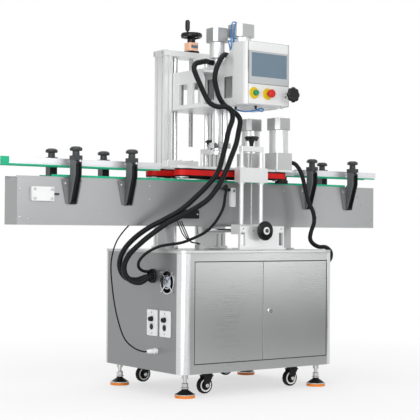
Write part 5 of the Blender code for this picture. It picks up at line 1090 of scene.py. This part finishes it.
# %% Control box and its controls
box_low, box_high = corners("operator_box")
CASE_FRONT = -0.2558
BUTTON_Z = 1.264
START_X, STOP_X, CLAMP_X = 0.067, 0.139, 0.240


def on_collar(centre, normal):
    near = min(math.hypot(centre.x - x, centre.z - BUTTON_Z) for x in (START_X, STOP_X))
    return centre.y < CASE_FRONT - 0.0002 and near < 0.021


dress("operator_box", enamel, (yellow, on_collar), edge=0.0008)
SCREEN_X, SCREEN_Z = (0.0505, 0.243), (1.3345, 1.4365)


def on_screen(centre, normal):
    inside_x = SCREEN_X[0] - 0.0005 < centre.x < SCREEN_X[1] + 0.0005
    inside_z = SCREEN_Z[0] - 0.0005 < centre.z < SCREEN_Z[1] + 0.0005
    return inside_x and inside_z and normal.y < -0.9


legends = [((x, CASE_FRONT, BUTTON_Z), (0, -1, 0)) for x in (START_X, STOP_X)]
many_turned("button_legends", [(0.0250, 0), (0.0250, 0.0012), (0.0244, 0.0018)], legends, yellow, "head",
            48)
dress("touch_screen", bezel, (glass, on_screen), edge=0.0006)
LID_X = (0.0362, 0.2578)
ring_frame("case_gasket", (LID_X[0], CASE_FRONT - 0.0003, box_low.z + 0.0010),
           (LID_X[1], CASE_FRONT + 0.0006, box_high.z - 0.0010), 0.0010, seam_grey, "head")
screen_low, screen_high = corners("touch_screen")
# A black strip in the gap around the screen, as painted shadow.
ring_frame("screen_gap_painted_shadow", (screen_low.x - 0.0012, CASE_FRONT - 0.0004, screen_low.z - 0.0012),
           (screen_high.x + 0.0012, CASE_FRONT + 0.0006, screen_high.z + 0.0012), 0.003, gap_painted_shadow, "head")
dress("start_button", green_cap, edge=0.0010)
dress("stop_button", red_cap, edge=0.0012)
CLAMP_BACK, CLAMP_INSIDE = -0.2930, -0.2358
GRIP = [(0.0130, 0), (0.0170, 0.004), (0.0270, 0.006), (0.0335, 0.010), (0.0340, 0.015), (0.0320, 0.021)]
GRIP += [(0.0260, 0.0228), (0.0120, 0.0236)]
grip = turned("clamp_grip", GRIP, (CLAMP_X, CLAMP_BACK, BUTTON_Z), (0, -1, 0), phenolic, "clamp_knob",
              64, 8)
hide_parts("clamp_knob")
turned("clamp_shaft", [(0.0062, 0), (0.0062, CLAMP_INSIDE - CLAMP_BACK + 0.002)],
       (CLAMP_X, CLAMP_INSIDE, BUTTON_Z), (0, -1, 0), zinc, "clamp_knob", 24)
turned("clamp_collar", [(0.0135, 0), (0.0135, 0.004), (0.0120, 0.006)], (CLAMP_X, CASE_FRONT, BUTTON_Z),
       (0, -1, 0), zinc, "clamp_knob", 28)
turned("box_foot_bolt", [(0.0065, 0), (0.0065, 0.004), (0.0045, 0.009)], (0.232, -0.240, box_low.z),
       (0, 0, -1), zinc, "head", 20)
case_screws = [((x, -0.190, box_high.z), (0, 0, 1)) for x in (0.045, 0.249)]
strewn("case_screws", small_screw, case_screws, zinc, "head")
print("control box dressed")

# %% [markdown]
# ## The belt units
# Two red belts grip the bottles. Each hangs from a plate on a lifting block that rides on two ground posts,
# and a hand knob on a thin screw sets its height. A belt could be swept around its pulleys. The CAD band
# already has the right path, so it is copied and cut along its black edges, where its core shows.

# %% Belts, carriers and height knobs
BELT_LOW, BELT_TOP = 0.909, 0.943
CORE = 0.0055


def belt_edge(centre, normal):
    return abs(normal.z) > 0.5 or centre.z < BELT_LOW + CORE or centre.z > BELT_TOP - CORE


POST_OFFSET, SLIDE_X = 0.0535, 0.145
POST_LOW, POST_TOP = 0.7072, 1.0233
POST_REACH, KNOB_SCREW_REACH, WIDTH_SCREW_REACH = 0.0100, 0.0048, 0.0064
CARRIER_LOW, CARRIER_TOP, KNOB_LOW = 0.889, 0.953, 1.0700
COLLAR = [(0.0150, 0), (0.0150, 0.0035), (0.0135, 0.0035), (0.0130, 0.0075)]
HEIGHT_GRIP = [(0.0110, 0), (0.0260, 0.0060), (0.0325, 0.0100), (0.0330, 0.0150), (0.0310, 0.0190),
               (0.0120, 0.0205)]
for name, slide_y in (("front", -0.1405), ("rear", 0.150)):
    edges = [((0, 0, BELT_LOW + CORE), (0, 0, 1)), ((0, 0, BELT_TOP - CORE), (0, 0, 1))]
    dress(name + "_belt", belt_red, (belt_black, belt_edge), edge=0.0014, cuts=edges)
    dress(name + "_belt_carrier", alloy, edge=0.0008)

    def on_post(centre, normal, slide_y=slide_y):
        near = min(math.hypot(centre.x - SLIDE_X - side * POST_OFFSET, centre.y - slide_y)
                   for side in (-1, 1))
        return near < POST_REACH and POST_LOW < centre.z < POST_TOP

    dress(name + "_posts", alloy, (post_steel, on_post), edge=0.0008)

    def on_screw(centre, normal, slide_y=slide_y):
        return math.hypot(centre.x - SLIDE_X, centre.y - slide_y) < KNOB_SCREW_REACH

    dress(name + "_height_knob", phenolic, (thread, on_screw), edge=0.0012)
    turned(name + "_knob_grip", HEIGHT_GRIP, (SLIDE_X, slide_y, KNOB_LOW), (0, 0, 1), phenolic,
           name + "_height_knob", 60, 5)
    lift = name + "_belt_unit"
    collars = [((SLIDE_X + side * POST_OFFSET, slide_y, z), (0, 0, up))
               for side in (-1, 1) for z, up in ((CARRIER_TOP, 1), (CARRIER_LOW, -1))]
    many_turned(name + "_post_collars", COLLAR, collars, alloy, lift, 28)


print("two belt units dressed")

# %% [markdown]
# ## The width of the belts
# The slide bed moves both belt units across the conveyor as its handwheel is turned. Its plates are milled
# and its rods chromed, and both are one CAD piece, so it is painted by zones. The wheel's disc and bolt
# could be zones too, but they stand out from the wheel, so they are turned pieces.

# %% Slide bed and width handwheel
BED_RODS_FRONT, BED_RODS_BACK, BED_RODS_LOW = -0.1930, 0.1845, 0.6715


def on_bed_rod(centre, normal):
    return BED_RODS_FRONT < centre.y < BED_RODS_BACK and centre.z > BED_RODS_LOW


dress("slide_bed", alloy, (chrome, on_bed_rod), edge=0.0007)
WIDTH_SCREW_Z, BED_FRONT = 0.680, -0.2055


def on_width_screw(centre, normal):
    return math.hypot(centre.x - SLIDE_X, centre.z - WIDTH_SCREW_Z) < WIDTH_SCREW_REACH


dress("width_handwheel", phenolic, (thread, on_width_screw), edge=0.0012)
turned("width_wheel_disc", [(0.0165, 0), (0.0165, 0.0012), (0.0150, 0.0022)],
       (SLIDE_X, BED_FRONT - 0.0438, WIDTH_SCREW_Z), (0, -1, 0), alloy, "width_handwheel",
       32)
turned("width_wheel_bolt", [(0.0085, 0), (0.0085, 0.0030), (0.0070, 0.0040)],
       (SLIDE_X, BED_FRONT - 0.0458, WIDTH_SCREW_Z), (0, -1, 0), phenolic, "width_handwheel",
       24)
plate_screws = [((x, BED_FRONT, 0.6885), (0, -1, 0)) for x in (0.052, 0.260)]
plate_screws += [((x, BED_FRONT, 0.680), (0, -1, 0)) for x in (0.105, 0.185)]
strewn("bed_plate_screws", small_screw, plate_screws, zinc, "machine")

# %% [markdown]
# ## Small things on the conveyor's front
# The bottle sensor looks across the chain, and the junction box joins its wires. The lens and the screws
# could be drawn in the finish, but as turned pieces they catch the light.

# %% Panel fittings
dress("photo_sensor", ivory, edge=0.0010)
dress("junction_box", nylon, edge=0.0010)
junction_low, junction_high = corners("junction_box")
lids = [((x, junction_low.y, 0.7485), (0, -1, 0))
        for x in (junction_low.x + 0.010, junction_high.x - 0.010)]
strewn("junction_box_screws", small_screw, lids, zinc, "machine")
turned("sensor_lens", [(0.0060, 0), (0.0060, 0.0010), (0.0050, 0.0016)], (0.114, -0.0588, 0.854),
       (0, -1, 0), glass, "machine", 24)
print("sensor and junction box dressed")

# %% [markdown]
# ## The belt units' small castings
# A block on the rear carrier holds its idle pulley. Under the front carrier a box covers the drive and a
# guard the belt's return, and each pulley shows a flange below the belt. The solids leave them
# out, because the part has no nodes left for them, so they are modelled here.

# %% Castings and guards
block("rear_idler_block", (-0.155, 0.066, 0.9548), (0.010, 0.112, 0.9850), alloy,
      "rear_belt_unit", 0.0020)
block("front_drive_box", (0.350, -0.0785, 0.8925), (0.404, -0.0505, 0.9085), nylon,
      "front_belt_unit", 0.0015)
block("front_return_guard", (-0.010, -0.0700, 0.9010), (0.090, -0.0480, 0.9087), nylon,
      "front_belt_unit", 0.0012)
block("table_terminal_box", (-0.1135, -0.118, 0.5986), (-0.082, -0.086, 0.6200), bezel,
      "machine", 0.0015)
block_screws = [((x, 0.089, 0.9850), (0, 0, 1)) for x in (-0.135, -0.070, -0.010)]
strewn("rear_idler_block_screws", big_screw, block_screws, zinc, "rear_belt_unit")
FLANGE = [(0.0290, 0), (0.0290, 0.0030), (0.0270, 0.0042), (0.0100, 0.0050), (0.0100, 0.0090),
          (0.0085, 0.0100)]
FLANGE_TOP = 0.9087
for name, belt_y, places in (("front", -0.0485, (-0.158, 0.372)), ("rear", 0.0785, (-0.221, 0.309))):
    rollers = [((x, belt_y, FLANGE_TOP), (0, 0, -1)) for x in places]
    many_turned(name + "_idler_flanges", FLANGE, rollers, casting, name + "_belt_unit", 36)
print("castings and guards made")

# %% [markdown]
# ## The air tubes
# Blue polyurethane tubes feed the stroke cylinder: one arches over the motor's cap to a fitting behind the
# control box, and one hangs in a small loop under the box. Thin black wires loop from the junction box to a
# small box on the table. Like the cables they are curves with a round bevel, because a chain of cylinders
# would show a kink at each joint.

# %% Air tubes
def tube(name, route, radius, body, material=blue):
    """A plain tube along a route, with round ends."""
    points = smooth_route(route, 0.004)
    piece = swept(name, points, radius, material)
    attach(piece, body)
    return piece


OVER_CAP = [(0.085, -0.070, 1.4085), (0.085, -0.070, 1.425), (0.083, -0.072, 1.470), (0.081, -0.073, 1.520)]
OVER_CAP += [(0.083, -0.070, 1.560), (0.094, -0.062, 1.588), (0.112, -0.050, 1.5985), (0.132, -0.040, 1.600)]
OVER_CAP += [(0.140, -0.036, 1.597), (0.140, -0.036, 1.5915)]
SHORT = [(0.099, -0.074, 1.4085), (0.099, -0.074, 1.425), (0.096, -0.078, 1.470), (0.092, -0.076, 1.500)]
SHORT += [(0.098, -0.066, 1.522), (0.107, -0.060, 1.526), (0.113, -0.058, 1.526), (0.1185, -0.056, 1.526)]
BESIDE = [(0.092, -0.084, 1.4085), (0.092, -0.084, 1.425), (0.088, -0.086, 1.465), (0.086, -0.088, 1.505)]
BESIDE += [(0.089, -0.084, 1.545), (0.098, -0.076, 1.572), (0.108, -0.066, 1.5865), (0.118, -0.058, 1.5885)]
BESIDE += [(0.124, -0.054, 1.5900), (0.130, -0.050, 1.5915)]
UNDER_BOX = [(0.120, -0.200, 1.2165), (0.120, -0.200, 1.206), (0.135, -0.200, 1.198), (0.155, -0.202, 1.196)]
UNDER_BOX += [(0.158, -0.206, 1.203), (0.140, -0.210, 1.206), (0.110, -0.208, 1.196), (0.075, -0.200, 1.190)]
UNDER_BOX += [(0.060, -0.180, 1.192), (0.058, -0.150, 1.200), (0.058, -0.140, 1.206)]
UNDER_BOX += [(0.058, -0.140, 1.2135)]
BRANCH = [(0.078, -0.076, 1.4085), (0.078, -0.076, 1.422), (0.072, -0.082, 1.452), (0.066, -0.083, 1.482)]
BRANCH += [(0.066, -0.076, 1.500), (0.074, -0.064, 1.510), (0.088, -0.052, 1.512), (0.1005, -0.046, 1.512)]
AIR_TUBE, WIRE = 0.0030, 0.0024
tube("air_tube_over_cap", OVER_CAP, AIR_TUBE, "head")
tube("air_tube_short", SHORT, AIR_TUBE, "head")
tube("air_tube_beside", BESIDE, AIR_TUBE, "head")
tube("air_tube_under_box", UNDER_BOX, AIR_TUBE, "head")
tube("air_tube_branch", BRANCH, AIR_TUBE, "head")
for number, lean in enumerate((0, 0.012, 0.022), 1):
    loop = [(-0.185 + lean, -0.0560, 0.7195), (-0.184 + lean, -0.062, 0.706), (-0.178 + lean, -0.068, 0.688)]
    loop += [(-0.168 + lean, -0.072, 0.664), (-0.150 + lean / 2, -0.080, 0.641)]
    loop += [(-0.128, -0.090 + lean / 2, 0.629), (-0.108, -0.098 + lean / 2, 0.626)]
    loop += [(-0.0975, -0.102 + lean / 2, 0.6215)]
    tube(f"junction_wire_{number}", loop, WIRE, "machine", cable_black)
FITTING = [(0.0055, 0), (0.0055, 0.006), (0.0048, 0.006), (0.0048, 0.012)]
fittings = {"a": (OVER_CAP[0], 1), "b": (SHORT[0], 1), "c": (UNDER_BOX[0], -1), "d": (UNDER_BOX[-1], -1)}
for name, (place, up) in fittings.items():
    turned("air_fitting_" + name, FITTING, place, (0, 0, up), nylon, "head", 20)

# %% [markdown]
# ## The last step
# The patterns that were only copied from are removed.

# %% Finish
for pattern in (small_screw, big_screw):
    bpy.data.objects.remove(pattern)
